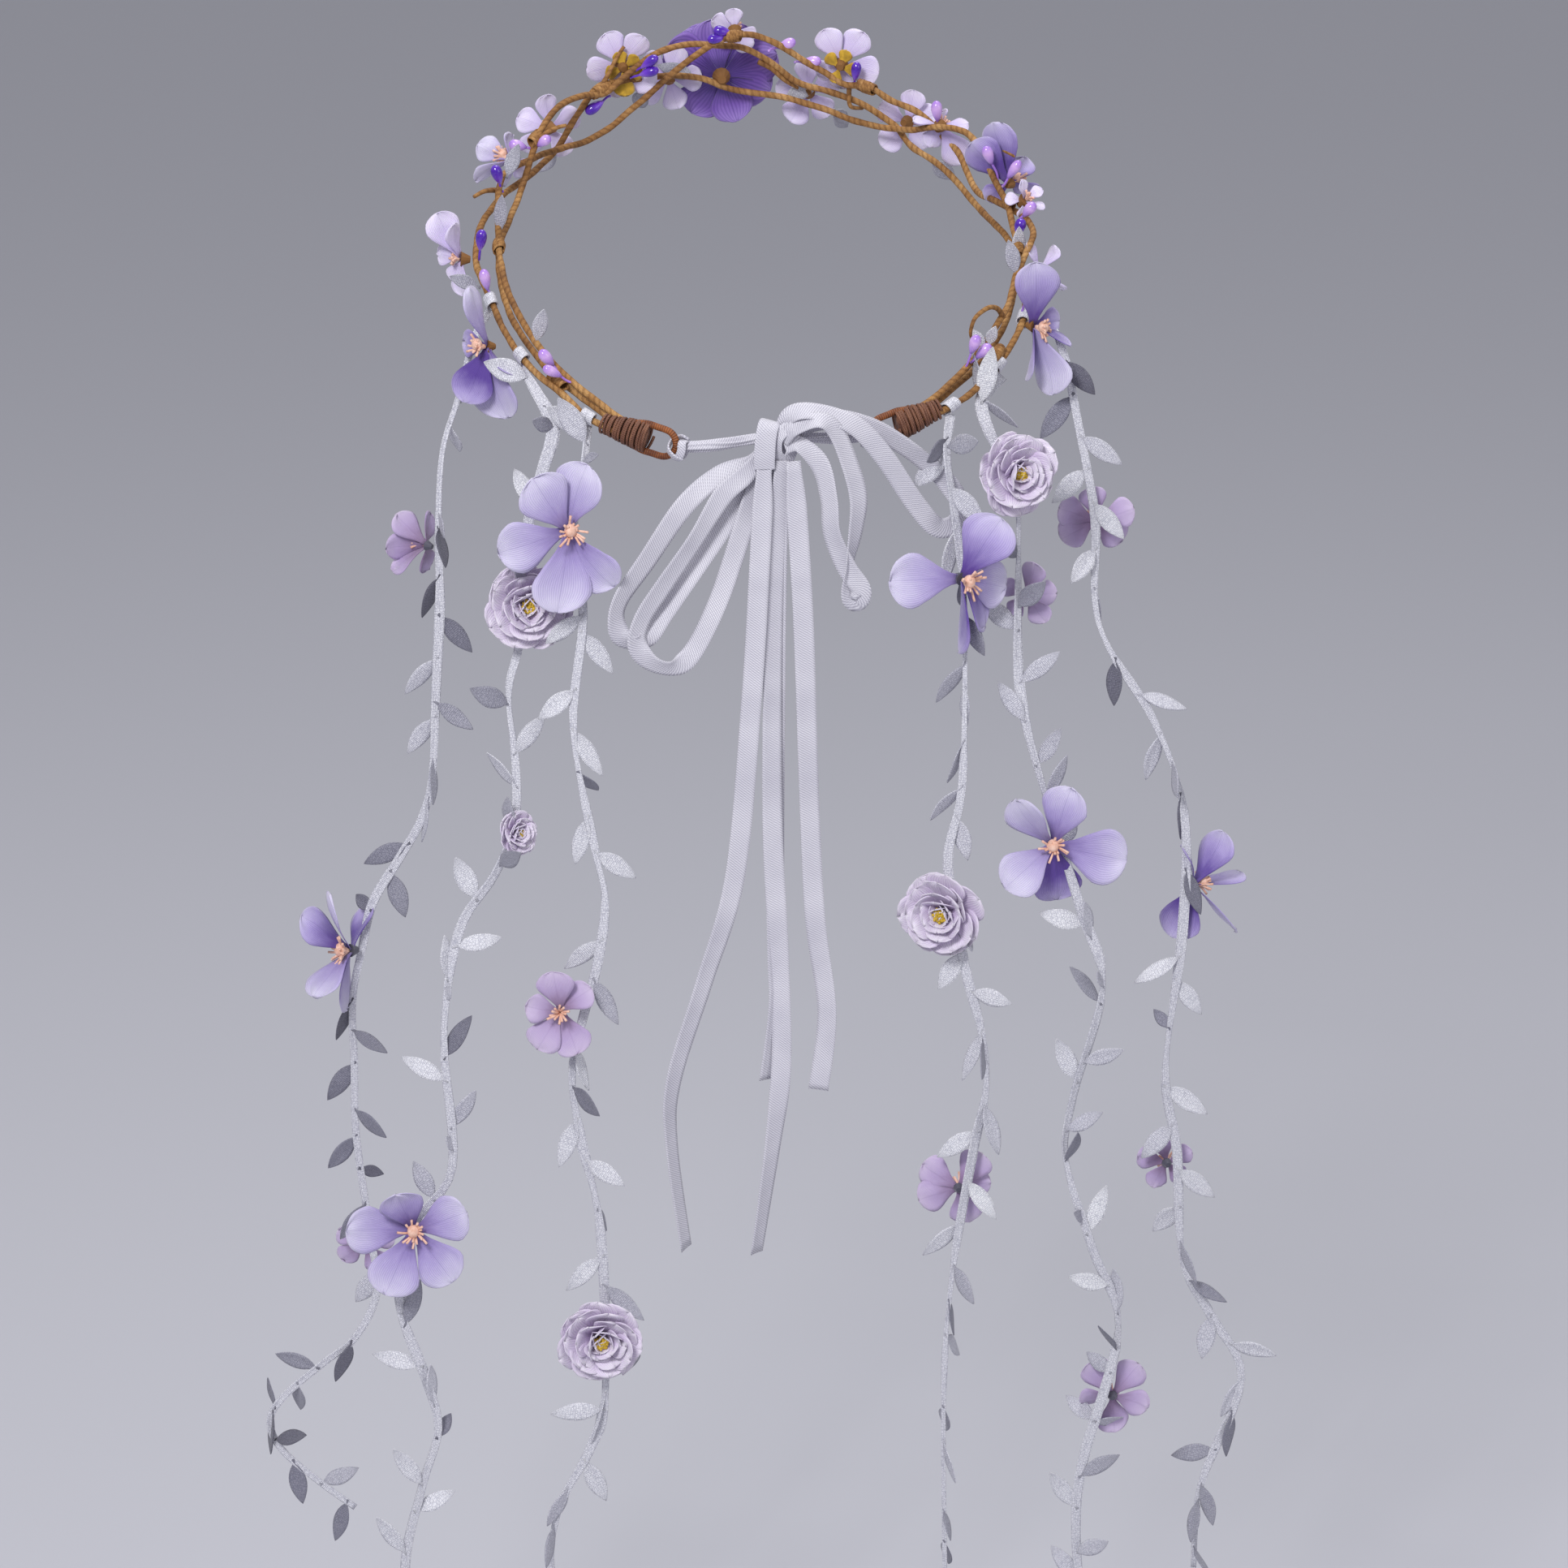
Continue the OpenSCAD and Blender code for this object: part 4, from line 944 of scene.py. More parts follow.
def makeEyeWire(side, place):
    r, straight = (eyes["width"] - eyes["wire"]) / 2, eyes["straight"] - 6
    loop = [(-6, 0, r * 0.7), (-1, 0, r), (3, 0, r), (straight, 0, r)]
    for i in range(1, 8):
        a = math.radians(90 - 180 * i / 8)
        loop.append((straight + r * math.cos(a), 0, r * math.sin(a)))
    loop += [(straight, 0, -r), (3, 0, -r), (-1, 0, -r), (-6, 0, -r * 0.7)]
    route = [place @ (p * mm) for p in smoothRoute(loop, 4)]
    bm = newMesh()
    sweep(bm, route, eyes["wire"] * mm, eyes["wire"] * mm, place.to_3x3() @ Vector((0, 1, 0)),
          around=12, boxy=1)
    finishPiece(bm, "eyeWire" + side.title(), eyeThread, "crown", ["eye_" + side], "eye_wire", outward=True)
    return place @ (Vector((straight + r, 0, 0)) * mm)


def makeBinding(side, place, seed):  # turns of twine packed side by side over a core, a little uneven
    long, tip, grow = binding["long"], binding["tip"], binding["wide"] - binding["tip"]
    bm = newMesh()
    route, facing = [], []
    count = binding["turns"] * 24
    for i in range(count + 1):
        f = i / count
        a = 2 * math.pi * binding["turns"] * f
        lean = 1.2 * math.sin(a + 1) + 0.5 * math.sin(0.37 * a + seed)
        x = 1 - long + long * f + lean * 0.5
        swell = tip + grow * ease(f * 1.2) + 0.5 * noise.noise(Vector((f * 9, seed, 0)))
        high, deep = (swell - binding["twine"]) / 2, swell * binding["flat"] / 2
        route.append(place @ (Vector((x, deep * math.cos(a), high * math.sin(a))) * mm))
        facing.append(place.to_3x3() @ Vector((0, math.cos(a), math.sin(a))))
    sweep(bm, route, binding["twine"] * 1.15 * mm, binding["twine"] * mm, facing, around=6, boxy=1)
    core = [place @ (Vector((x, 0, 0)) * mm) for x in (1.4 - long, -long * 0.6, -long * 0.3, 0.2)]
    sweep(bm, core, lambda k: (tip + grow * k - 2.2) * 0.6 * mm, lambda k: (tip + grow * k - 1.6) * mm,
          place.to_3x3() @ Vector((0, 0, 1)), around=16, boxy=1)
    finishPiece(bm, "twineBinding" + side.title(), twineMaterial, "crown", ["binding_" + side], "twine",
                outward=True)


# the doubled ribbon passes through the eye and back through its own bight
hitch = {
    "bight": {
        "wide": 4.0, "thick": 0.9, "centre": 0.6,
        "points": [
            (2.6, 0.6, 4.2), (0.6, 2.0, 3.2), (-1.8, 1.6, 1.6), (-2.4, 0, 0.2), (-1.8, -1.8, -1.4),
            (0.8, -2.0, -3.0), (2.8, -0.6, -3.8)]},
    "collar": {
        "wide": 3.0, "thick": 0.8, "centre": 2.6,
        "points": [
            (2.4, 1.9, 2.6), (2.2, -1.5, 2.8), (2.8, -2.3, 0), (2.4, -1.6, -2.7), (2.6, 1.6, -2.6),
            (3.2, 2.0, 0.4), (2.6, 0.6, 2.6)]}}


def makeHitch(side, place, tip):
    turned = place.to_3x3()
    bm = newMesh()
    for h in hitch.values():
        route = [tip + (turned @ (p * mm)) for p in smoothRoute(h["points"], 6)]
        centre = tip + turned @ (Vector((h["centre"], 0, 0)) * mm)
        facing = [(p - centre).normalized() for p in route]
        sweep(bm, route, h["wide"] * mm, h["thick"] * mm, facing, around=10, boxy=0.6)
    finishPiece(bm, "ribbonHitch" + side.title(), satin, "crown", ["hitch_" + side], "ribbon", outward=True)


def makeRun(side, tip, ahead, away):  # a short run of doubled ribbon from an eye to the knot
    start = tip + ahead * 0.6 * mm
    stop = knot + Vector((away * 1.5, 0, 0.5)) * mm
    first = start.lerp(stop, 0.35) + Vector((0, -0.6, -0.6)) * mm
    second = start.lerp(stop, 0.7) + Vector((0, -0.4, -0.5)) * mm
    route = smoothRoute([start, first, second, stop], 10)
    bm = newMesh()
    for shift, tilt in ((0.5, 0.5), (-0.5, -0.7)):
        rows = [p + Vector((0, 0.3, shift)) * mm for p in route]
        facing = [Vector((0, -1, tilt + 0.5 * math.sin(i * 0.25 + shift))) for i in range(len(rows))]
        sweep(bm, rows, 3.6 * mm, 0.8 * mm, facing, around=12, boxy=0.55)
    piece = finishPiece(bm, "ribbonRun" + side.title(), satin, "crown", ["ribbon_" + side], "ribbon",
                        outward=True)
    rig.cord(piece, exit=route[0], length=alongRoute(route)[-1], diameter=0.0045, far_end="object",
            stiffness="limp", lay="taut", path=route)


ends = []
for side, seed, away in (("left", 3, -1), ("right", 4, 1)):
    ahead = Vector(eyes[side]["run"]).normalized()
    place = setOn(onHoop(*eyes[side]["at"]), ahead, (0, 0, 1))
    tip = makeEyeWire(side, place)
    makeBinding(side, place, seed)
    makeHitch(side, place, tip)
    ends.append((side, tip, ahead, away))
for end in ends:
    makeRun(*end)

# the knot: one band falls over the front, one rolls over the top, one closes the back
knotBands = [
    {
        "wide": 7.2, "thick": 0.6, "boxy": 0.5,
        "points": [
            (0, 3.0, 3), (-1, 0.5, 6), (-2.5, -3.5, 5.5), (-3.6, -5.4, 1), (-4, -5.6, -5),
            (-4, -5.0, -9.5)],
        "faces": [(0, 0.4, 1), (0, -0.4, 1), (0, -0.9, 0.6), (0, -1, 0.1), (0, -1, 0), (0, -1, 0)]},
    {
        "wide": 4.6, "thick": 0.6, "boxy": 0.5,
        "points": [(8, -2, 3), (4, -4, 4.5), (0.5, -4, 1), (0.5, -3, -5), (4, -2, -7), (6, -2, -3)],
        "faces": [
            (0, -1, 0.6), (-0.2, -1, 0.4), (-0.8, -1, 0), (-0.4, -1, -0.4), (0.3, -1, -0.5), (0.5, -1, 0)]},
    {
        "wide": 4.4, "thick": 2.2, "boxy": 0.7,
        "points": [(-4, 1.2, 2), (0, 1.8, 2.6), (4, 1.2, 1), (4, 1, -3), (0, 1.6, -4.4), (-3, 1, -2)],
        "faces": [(0, -1, 0)] * 6}]
bm = newMesh()
for b in knotBands:
    route = [knot + p * mm for p in smoothRoute(b["points"], 6)]
    facing = [v.normalized() for v in smoothRoute(b["faces"], 6)]
    sweep(bm, route, b["wide"] * mm, b["thick"] * mm, facing, around=16, boxy=b["boxy"])
finishPiece(bm, "ribbonKnot", satin, "crown", ["bow_knot"], "ribbon", outward=True)
print("eyes, bindings and bow made")


# hoop wires: angle, out, up

wires = {
    "thick": 2.35,
    "paths": [
        [
            (30, 1.5, 0), (34, 2.5, 0), (40, 4, 0), (47, 5, 0), (55, 5, 0), (62, 5, 0), (70, 5, 0),
            (77, 3, 1), (88, 0, 1), (102, 0, 1), (111, 0, 2), (121, 2, 4), (126, 1, 2), (131, -0.5, -2),
            (137, -1, -10), (144, -1, -16), (151, -2, -18), (160, -2, -17), (170, -1, -16), (181, 0, -14),
            (190, 1, -7), (198, 2, -4), (206, 3, -2), (213, 4, 0), (219, 4, -8), (226, 2, -15),
            (236, 2, -15), (248, 4, -9), (260, 6, -3), (270, 7, 0), (277, 6, 0), (283, 5, 0), (291, 5, 0),
            (299, 5, 0), (306, 5, 0), (312, 4, -1), (319, 4, -3), (325, 3, -4), (330, 1.5, -4)],
        [
            (30, -1, 1.3), (36, -1.5, 1.5), (44, -2, 2), (52, -2, 3), (60, -2, 4), (70, -1, 4),
            (77, -1, 5), (84, 2, 6), (90, 5, 5), (95, 5, 3), (100, 4, -2), (107, -1, -5), (115, -1, -13),
            (122, 2, -14), (127, 4, -12), (132, 4, -10), (138, 3.5, -6), (145, 1.5, -5), (151, 1, -2),
            (156, 1, -5), (161, 1, -2), (166, 0, 3), (174, 0, 11), (182, -1, 14), (191, -1.5, 6),
            (201, -2, -6), (209, -2, -14), (218, -2, -17), (226, -2, -12), (233, 1, -9), (240, 3.5, -6),
            (246, 4, -1), (251, 3, 2), (260, 0, 4), (270, -1, 4), (280, -1, 4), (290, -1, 4),
            (300, -1, 3), (311, -1.5, 1), (319, -2, -1), (325, -1.5, -2.5), (330, -1, -2.7)],
        [
            (30, -1, -1.3), (36, -1.5, -1.5), (44, -2, -2), (52, -2, -3), (60, -2, -4), (70, -1, -4),
            (79, -1, -4), (88, 1, -5), (98, -1, -9), (106, -2, -14), (114, -1, -19), (126, -1, -19),
            (138, 0, -20), (144, 2.5, -17), (152, 2, -13), (160, 2, -12), (167, 2, -10), (174, 2, -1),
            (180, 2, 5), (186, 2, 7), (192, 2, 9), (199, 2, 8), (204, 2, 4), (208, 1, 2), (213, 1, -1),
            (218, 2, 2), (224, 3, 4), (232, 1, 4), (239, -1, -1), (246, -2, -7), (256, -3, -6),
            (266, -1, -4), (276, -1, -4), (286, -1, -4), (297, -1, -3), (305, -1.5, -4), (311, -2, -4),
            (319, -2, -5), (325, -1.5, -5.5), (330, -1, -5.3)]]}


def makeWire(index, path, seed):
    route = [onHoop(*p) for p in smoothRoute(path, 9)]
    shifts = [Vector((seed, 0, 0)), Vector((0, seed, 0)), Vector((0, 0, seed))]
    route = [p + Vector([noise.noise(p * 90 + shift) for shift in shifts]) * 0.5 * mm for p in route]
    tilt = math.radians(hoopSize["tilt"])

    def lumpy(row):  # the wrapping is uneven
        return lambda k: wires["thick"] * (1 + 0.22 * noise.noise(Vector((k * 110, seed, row)))) * mm

    bm = newMesh()
    sweep(bm, route, lumpy(0), lumpy(5), Vector((0, math.sin(tilt), -math.cos(tilt))), around=10, boxy=1)
    finishPiece(bm, "wrappedWire%d" % index, paperWrap, "crown", ["wire_%d" % index], "twig", outward=True)


for i, path in enumerate(wires["paths"]):
    makeWire(i + 1, path, 20 + i)

# wrapping over the crossings: angle, out, up, turns
crossings = [
    (88, 0, 1, 5), (151, 1, -3, 6), (182, -1, 13.5, 5), (213, 2.5, -0.5, 6), (270, -1, 4, 4),
    (102, 1, 1, 4), (56, 3, 2, 8), (309, 1.5, 0, 6), (235, 1, 2, 5)]
bm = newMesh()
for j, (angle, out, up, turns) in enumerate(crossings):
    place = setOn(onHoop(angle, out, up), onHoop(angle + 1, out, up) - onHoop(angle - 1, out, up), (0, 0, 1))
    route, facing = [], []
    for i in range(turns * 14 + 1):
        a = 2 * math.pi * i / 14
        x = -turns * 0.55 + 1.1 * i / 14 + 0.6 * math.sin(a + j)
        r = 1.75 + 0.3 * noise.noise(Vector((i * 0.2, j, 0))) + 0.35 * math.sin(math.pi * i / (turns * 14))
        route.append(place @ (Vector((x, r * math.cos(a), r * math.sin(a))) * mm))
        facing.append(place.to_3x3() @ Vector((0, math.cos(a), math.sin(a))))
    sweep(bm, route, 1.5 * mm, 0.6 * mm, facing, around=6, boxy=0.8)
finishPiece(bm, "wireKnots", paperWrap, "crown", ["wire_knots"], "twig", outward=True)

# side sprigs; the first is a curled tendril
sprigs = [
    [(66, -1, 4), (65, -3, 9), (62, -5, 13), (58, -7, 13), (56, -7, 9), (56, -6, 5)],
    [(236, 0, 2), (233, -2, 4), (231, -4, 5), (229, -6, 5)],
    [(155, 1, -5), (155, 1, -9), (154, -1, -13), (152, 3, -16)],
    [(176, 1, -1), (173, 1, -4), (170, 1, -9), (167, 3, -14)],
    [(118, 2, 4), (116, 4, 7), (112, 6, 9), (110, 8, 9)],
    [(213, 3, 0), (210, 5, 3), (207, 8, 6), (205, 9, 9)], [(252, 4, 1), (254, 7, 3), (256, 10, 3)]]


def sprigThick(k):
    return 2.0 * (1 - 0.35 * k) * mm


bm = newMesh()
for s in sprigs:
    route = [onHoop(*p) for p in smoothRoute(s, 7)]
    sweep(bm, route, sprigThick, sprigThick, Vector((0.1, 0.55, -0.83)), around=8, boxy=1)
finishPiece(bm, "wireSprigs", paperWrap, "crown", ["wire_sprigs"], "twig", outward=True)
print("hoop wires made")


# flowers; each kind has its own shape settings in millimetres

largeFlower = {"reach": 24, "wide": 19, "cup": 0.16, "ruffle": 1.5, "rows": 14, "columns": 10}
smallFlower = {"reach": 15, "wide": 12.5, "cup": 0.2, "ruffle": 1.2, "rows": 12, "columns": 8}
frontFlower = {"reach": 25, "wide": 22, "cup": 0.3, "ruffle": 2.4, "rows": 14, "columns": 12}
sepalShape = {"reach": 7, "wide": 6, "cup": 0.1, "ruffle": 0.4, "rows": 8, "columns": 6}
roseFlower = {"reach": 15.5, "rows": 8, "columns": 9, "layers": [
    (7, 1.0, 4), (7, 0.9, 14), (6, 0.76, 25), (6, 0.6, 37), (5, 0.44, 48), (4, 0.3, 60)]}


def petalShape(reach, wide, f, rng):
    phase, dish = rng.uniform(0, 60), rng.uniform(0.02, 0.16)
    curl, lean = rng.uniform(-0.25, 0.3), rng.uniform(-0.12, 0.12)

    def at(s, t):
        s = s * 2 - 1
        run = 1 - (1 - t) ** 1.6
        half = wide / 2 * (0.16 + 0.84 * ease(run / 0.74))
        if run > 0.6:
            half *= math.sqrt(max(0.0, 1 - ((run - 0.6) / 0.4) ** 2.5))
        ragged = noise.noise(Vector((s * 5 + phase, run * 7, phase)))
        half = max(0.25, half * (1 + 0.05 * ragged * ease(run * 2)))
        y = s * half + lean * run * run * wide * 0.5
        x = 0.8 + run * (reach - 0.8) + 0.25 * ragged * run
        z = reach * f["cup"] * (1.7 * run - 1.1 * run * run) + dish * half * s * s
        z += curl * reach * max(0, run - 0.55) ** 2 * 1.6
        z += f["ruffle"] * run * run * noise.noise(Vector((s * 1.6 + phase, run * 2.0, phase)))
        z += 0.35 * f["ruffle"] * run * noise.noise(Vector((s * 4.2 + phase, run * 1.3, phase + 9)))
        return Vector((x, y, z)) * mm
    return at


def layPetal(bm, place, f, rng, reach, wide, tintAndShade):
    shape = petalShape(reach, wide, f, rng)
    lay(bm, gridOf(bm, f["columns"], f["rows"]), lambda s, t: place @ shape(s, t), lambda s, t: (s, t), tintAndShade)


# each row: seen angle, length, lean to the viewer, roll, shade out of ten, partly dye and partly painted shade
def seenPetals(bm, f, centre, facing, rows, rng):
    n = Vector(facing).normalized()
    for k, (angle, long, lean, roll, shade) in enumerate(rows):
        a, lean, roll = math.radians(angle), math.radians(lean), math.radians(roll)
        flat = viewRight * math.cos(a) + Vector((0, 0, math.sin(a)))
        ahead = (flat * math.cos(lean) + viewOut * math.sin(lean)).normalized()
        side = n.cross(ahead).normalized()
        up = (ahead.cross(side) * math.cos(roll) + side * math.sin(roll)).normalized()
        place = setOn(centre + n * ((k % 2) * 0.5) * mm, ahead, up)
        layPetal(bm, place, f, rng, long, f["wide"] * long / f["reach"] * rng.uniform(0.96, 1.04), shade / 10)


def stamenThick(k):
    return (0.6 + 0.35 * k) * mm


def addStamens(bm, place, rng, count=17, long=6.4, bead=2.1, spread=0.95):
    for k in range(count):
        a = 2 * math.pi * k / count + rng.uniform(-0.2, 0.2)
        lean = rng.uniform(0.35, spread)
        high = long * rng.uniform(0.8, 1.15)
        stem = [(0.4, a, 0), (0.35 * high * lean, a + 0.2, 0.45 * high), (high * lean, a, 0.8 * high)]
        points = [Vector((r * math.cos(b), r * math.sin(b), z)) for r, b, z in stem]
        route = [place @ (p * mm) for p in smoothRoute(points, 3)]
        sweep(bm, route, stamenThick, stamenThick, place.to_3x3() @ Vector((-math.sin(a), math.cos(a), 0.01)),
              around=6, boxy=1)
    if bead:
        ball = roundBall(bm, bead, 3)
        bmesh.ops.scale(bm, verts=ball, vec=(1, 1, 1.15))
        bmesh.ops.translate(bm, verts=ball, vec=place @ (Vector((-0.6, -0.3, long * 0.55)) * mm))


def rosePetal(long, wide, bend, phase):
    def at(s, t):
        s = s * 2 - 1
        run = 1 - (1 - t) ** 1.5
        half = wide / 2 * (0.24 + 0.76 * ease(run / 0.66))
        if run > 0.6:
            half *= math.sqrt(max(0.0, 1 - ((run - 0.6) / 0.4) ** 3))
        half = max(0.25, half)
        notch = -0.07 * long * math.exp(-(s * 3.2) ** 2) * ease((run - 0.5) * 2)
        wave = noise.noise(Vector((s * 1.7 + phase, run * 1.6, phase)))
        z = bend * long * run * run + 0.16 * half * s * s * run + 0.11 * long * run * wave
        return Vector((run * long * (1 + 0.04 * wave) + notch, s * half, z)) * mm
    return at


def addRose(bm, place, rng, size=1.0):
    for layer, (count, share, tilt) in enumerate(roseFlower["layers"]):
        turn = rng.uniform(0, 1)
        for k in range(count):
            long = roseFlower["reach"] * size * share * rng.uniform(0.94, 1.05)
            wide = long * (0.98 if layer < 3 else 1.12) * rng.uniform(0.95, 1.1)
            phase, bend = rng.uniform(0, 60), rng.uniform(0.1, 0.34)
            around = 2 * math.pi * (k + turn) / count + rng.uniform(-0.1, 0.1)
            rise = -math.radians(tilt + rng.uniform(-6, 8))
            petal = place @ Matrix.Translation((0, 0, layer * 0.6 * size * mm)) \
                @ Matrix.Rotation(around, 4, "Z") @ Matrix.Rotation(rise, 4, "Y") \
                @ Matrix.Translation((0, 0, (k % 2) * 0.35 * mm)) \
                @ Matrix.Rotation(rng.uniform(-0.3, 0.3), 4, "X")
            at = rosePetal(long, wide, bend, phase)
            lay(bm, gridOf(bm, roseFlower["columns"], roseFlower["rows"]), lambda s, t: petal @ at(s, t),
                lambda s, t: (s, t), 0.5 + rng.uniform(-0.12, 0.12))


def addRoseCentre(bm, place, rng, size=1.0):  # a dome of small grains over a core
    for k in range(26):
        a, r = k * 2.4, 0.5 * math.sqrt(k) * size
        high = (7.4 - 0.1 * r * r + rng.uniform(-0.3, 0.3)) * size
        spot = place @ (Vector((r * math.cos(a), r * math.sin(a), high)) * mm)
        bmesh.ops.translate(bm, verts=roundBall(bm, 0.62 * size, 2), vec=spot)
    addCone(bm, place, 0.8 * size, 2.4 * size, 4.6 * size, 4.4 * size)


def addHub(bm, place, size=1.0):
    addCone(bm, place, 1.1 * size, 2.4 * size, 3 * size, -1.2 * size)


def addCone(bm, place, low, high, tall, middle):  # radii at the two ends, height, and where its middle is
    cone = bmesh.ops.create_cone(bm, cap_ends=True, segments=12, radius1=low * mm, radius2=high * mm,
                                 depth=tall * mm)["verts"]
    bmesh.ops.transform(bm, matrix=place @ Matrix.Translation((0, 0, middle * mm)), verts=cone)


# where each garland's flowers sit: millimetres from the tie, facing, then the petals as they are seen
garlandFlowers = {
    "l1": {
        "large": [
            (
                (-54, -40, -224), (-0.85, -0.5, 0.1),
                [
                    (105, 23, 5, 20, 6), (132, 22, 15, 60, 3), (238, 22, 30, 10, 6), (272, 23, 0, -45, 6),
                    (62, 18, -35, 0, 2)])],
        "small": [
            (
                (-24, -20, -82), (-0.8, 0.55, 0.1),
                [
                    (125, 15, 0, 0, 4), (190, 14, 10, 0, 4), (226, 15, 0, 50, 3), (70, 13, -40, 0, 3),
                    (280, 12, -30, 0, 2)]),
            (
                (-52, -32, -340), (-0.2, 1, 0),
                [
                    (150, 11, 0, 0, 4), (220, 11, 0, 0, 4), (80, 11, 0, 0, 4), (10, 11, 0, 0, 4),
                    (300, 11, 0, 0, 4)])],
        "rose": []},
    "l2": {
        "large": [
            (
                (-44, -49, -304), (0, -1, 0.15),
                [
                    (108, 21, 22, 5, 4), (22, 22, 8, 5, 6), (309, 23, 4, -10, 6), (245, 25, 4, 0, 6),
                    (175, 24, 4, 5, 6)])],
        "small": [],
        "rose": [((0, -28, -81), (0.05, -1, 0.1), 0, 1), ((-6, -40, -160), (0.6, -0.8, 0.2), 0, 0.55)]},
    "l3": {
        "large": [
            (
                (-8, -19, -35), (0.25, -1, 0.1),
                [
                    (70, 25, 5, 48, 7), (125, 24, 12, 8, 7), (197, 25, 6, 4, 7), (262, 28, 2, 0, 7),
                    (308, 25, 4, -45, 6)])],
        "small": [
            (
                (-13, -34, -204), (-0.2, -1, 0.1),
                [
                    (98, 16, 6, 0, 5), (38, 14, 0, 20, 5), (172, 13, 12, 0, 6), (240, 16, 2, 0, 6),
                    (292, 16, 0, 10, 5)])],
        "rose": [((-1, -33, -328), (0.05, -1, 0), 40, 1)]},
    "r1": {
        "large": [
            (
                (2, -20, -56), (0.6, -0.8, -0.15),
                [
                    (180, 26, 12, -18, 7), (58, 25, -8, 55, 4), (348, 22, -50, 10, 6),
                    (292, 21, -22, 30, 2), (262, 26, 4, 55, 1)])],
        "small": [
            (
                (3, -24, -280), (0.1, 1, 0),
                [
                    (152, 15, 0, 0, 5), (204, 15, 4, 0, 5), (58, 15, 0, 10, 4), (5, 12, -10, 0, 3),
                    (285, 15, 0, 0, 5)])],
        "rose": [((-3, -28, -174), (-0.45, -0.9, 0.05), 0, 1)]},
    "r2": {
        "large": [
            (
                (18, -34, -164), (-0.1, -1, 0.1),
                [
                    (128, 23, 10, 42, 7), (74, 23, 6, 18, 6), (348, 26, 0, -5, 6), (277, 23, -24, 10, 1),
                    (222, 23, 14, -10, 8)])],
        "small": [
            (
                (9, -17, -78), (0.5, 0.8, 0),
                [
                    (75, 12, 0, 0, 5), (300, 12, 10, 0, 5), (0, 12, -20, 0, 5), (160, 9, 0, 0, 4),
                    (230, 9, 0, 0, 3)]),
            (
                (43, -33, -376), (0.1, 1, 0),
                [
                    (125, 15, 0, 0, 5), (48, 15, 0, 0, 5), (338, 14, 0, 0, 5), (278, 15, 0, 20, 4),
                    (195, 12, 0, 30, 4)])],
        "rose": [((4, -19, -33), (0.3, -1, 0.1), 0, 0.95)]},
    "r3": {
        "large": [
            (
                (61, -22, -204), (0.75, 0.5, 0),
                [
                    (62, 22, -15, 0, 3), (18, 22, -40, -20, 4), (302, 25, -8, -25, 6),
                    (110, 16, 5, 40, 1), (250, 21, 5, 20, 2)])],
        "small": [
            (
                (26, -5, -73), (0.1, 1, 0),
                [
                    (165, 14, 0, 0, 4), (214, 14, 5, 0, 4), (15, 14, 0, 10, 5), (320, 14, -10, 0, 3),
                    (100, 12, 0, 0, 4)]),
            (
                (54, -22, -311), (-0.1, 1, 0),
                [
                    (170, 11, 0, 0, 3), (245, 11, 0, 0, 4), (25, 10, 0, 0, 4), (100, 9, 0, 0, 3),
                    (315, 9, 0, 0, 3)])],
        "rose": []}}


def makeFlowers(name, spec, seed):
    rng = random.Random(seed)
    tie, body, label = built[name]["tie"], built[name]["body"], name.upper()
    pieces = []

    def finished(bm, kind, material, nodes, slot, **more):
        pieces.append(finishPiece(bm, kind + label, material, body, nodes, slot, **more))

    bm, stamens, hubs = newMesh(), newMesh(), newMesh()
    for at, facing, rows in spec["large"]:
        place = aimed(tie + Vector(at) * mm, facing)
        seenPetals(bm, largeFlower, place.translation, facing, rows, rng)
        addStamens(stamens, place @ Matrix.Translation((0, 0, 1.0 * mm)), rng)
        addHub(hubs, place)
    finished(bm, "largeFlower", lilacPetal, ["large_" + name], "lilac_cloth", solid=0.3)
    if spec["small"]:
        bm = newMesh()
        for at, facing, rows in spec["small"]:
            place = aimed(tie + Vector(at) * mm, facing)
            seenPetals(bm, smallFlower, place.translation, facing, rows, rng)
            addStamens(stamens, place @ Matrix.Translation((0, 0, 0.8 * mm)), rng, 12, 6.5, 0, 0.6)
            addHub(hubs, place, 0.8)
        finished(bm, "smallFlower", paleLilacPetal, ["small_" + name], "pale_lilac", solid=0.28)
    if spec["rose"]:
        bm, centre = newMesh(), newMesh()
        for at, facing, turn, size in spec["rose"]:
            place = aimed(tie + Vector(at) * mm, facing, turn)
            addRose(bm, place, rng, size)
            addRoseCentre(centre, place, rng, size)
            addHub(hubs, place, size)
        finished(bm, "rose", paperPetal, ["small_" + name], "pale_lilac", solid=0.3)
        finished(centre, "roseCentre", mustardPith, (), "mustard", outward=True)
    finished(stamens, "stamens", peachPith, (), "peach", outward=True)
    finished(hubs, "flowerHubs", silverCloth, (), "silver_cloth", outward=True)
    return pieces


for i, (name, spec) in enumerate(garlandFlowers.items()):
    b = built[name]
    b["flowers"] = makeFlowers(name, spec, 40 + i)
    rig.cord(b["stem"], exit=b["route"][0], length=b["length"], diameter=0.0032, far_end="bare",
            stiffness="limp", lay="hanging", path=b["route"],
            with_pieces=[b["leaves"], b["wrap"]] + b["flowers"])
print("garland flowers made")


# crown trim: where each piece sits on the hoop (angle, out, up), its facing, then its petals as they are seen

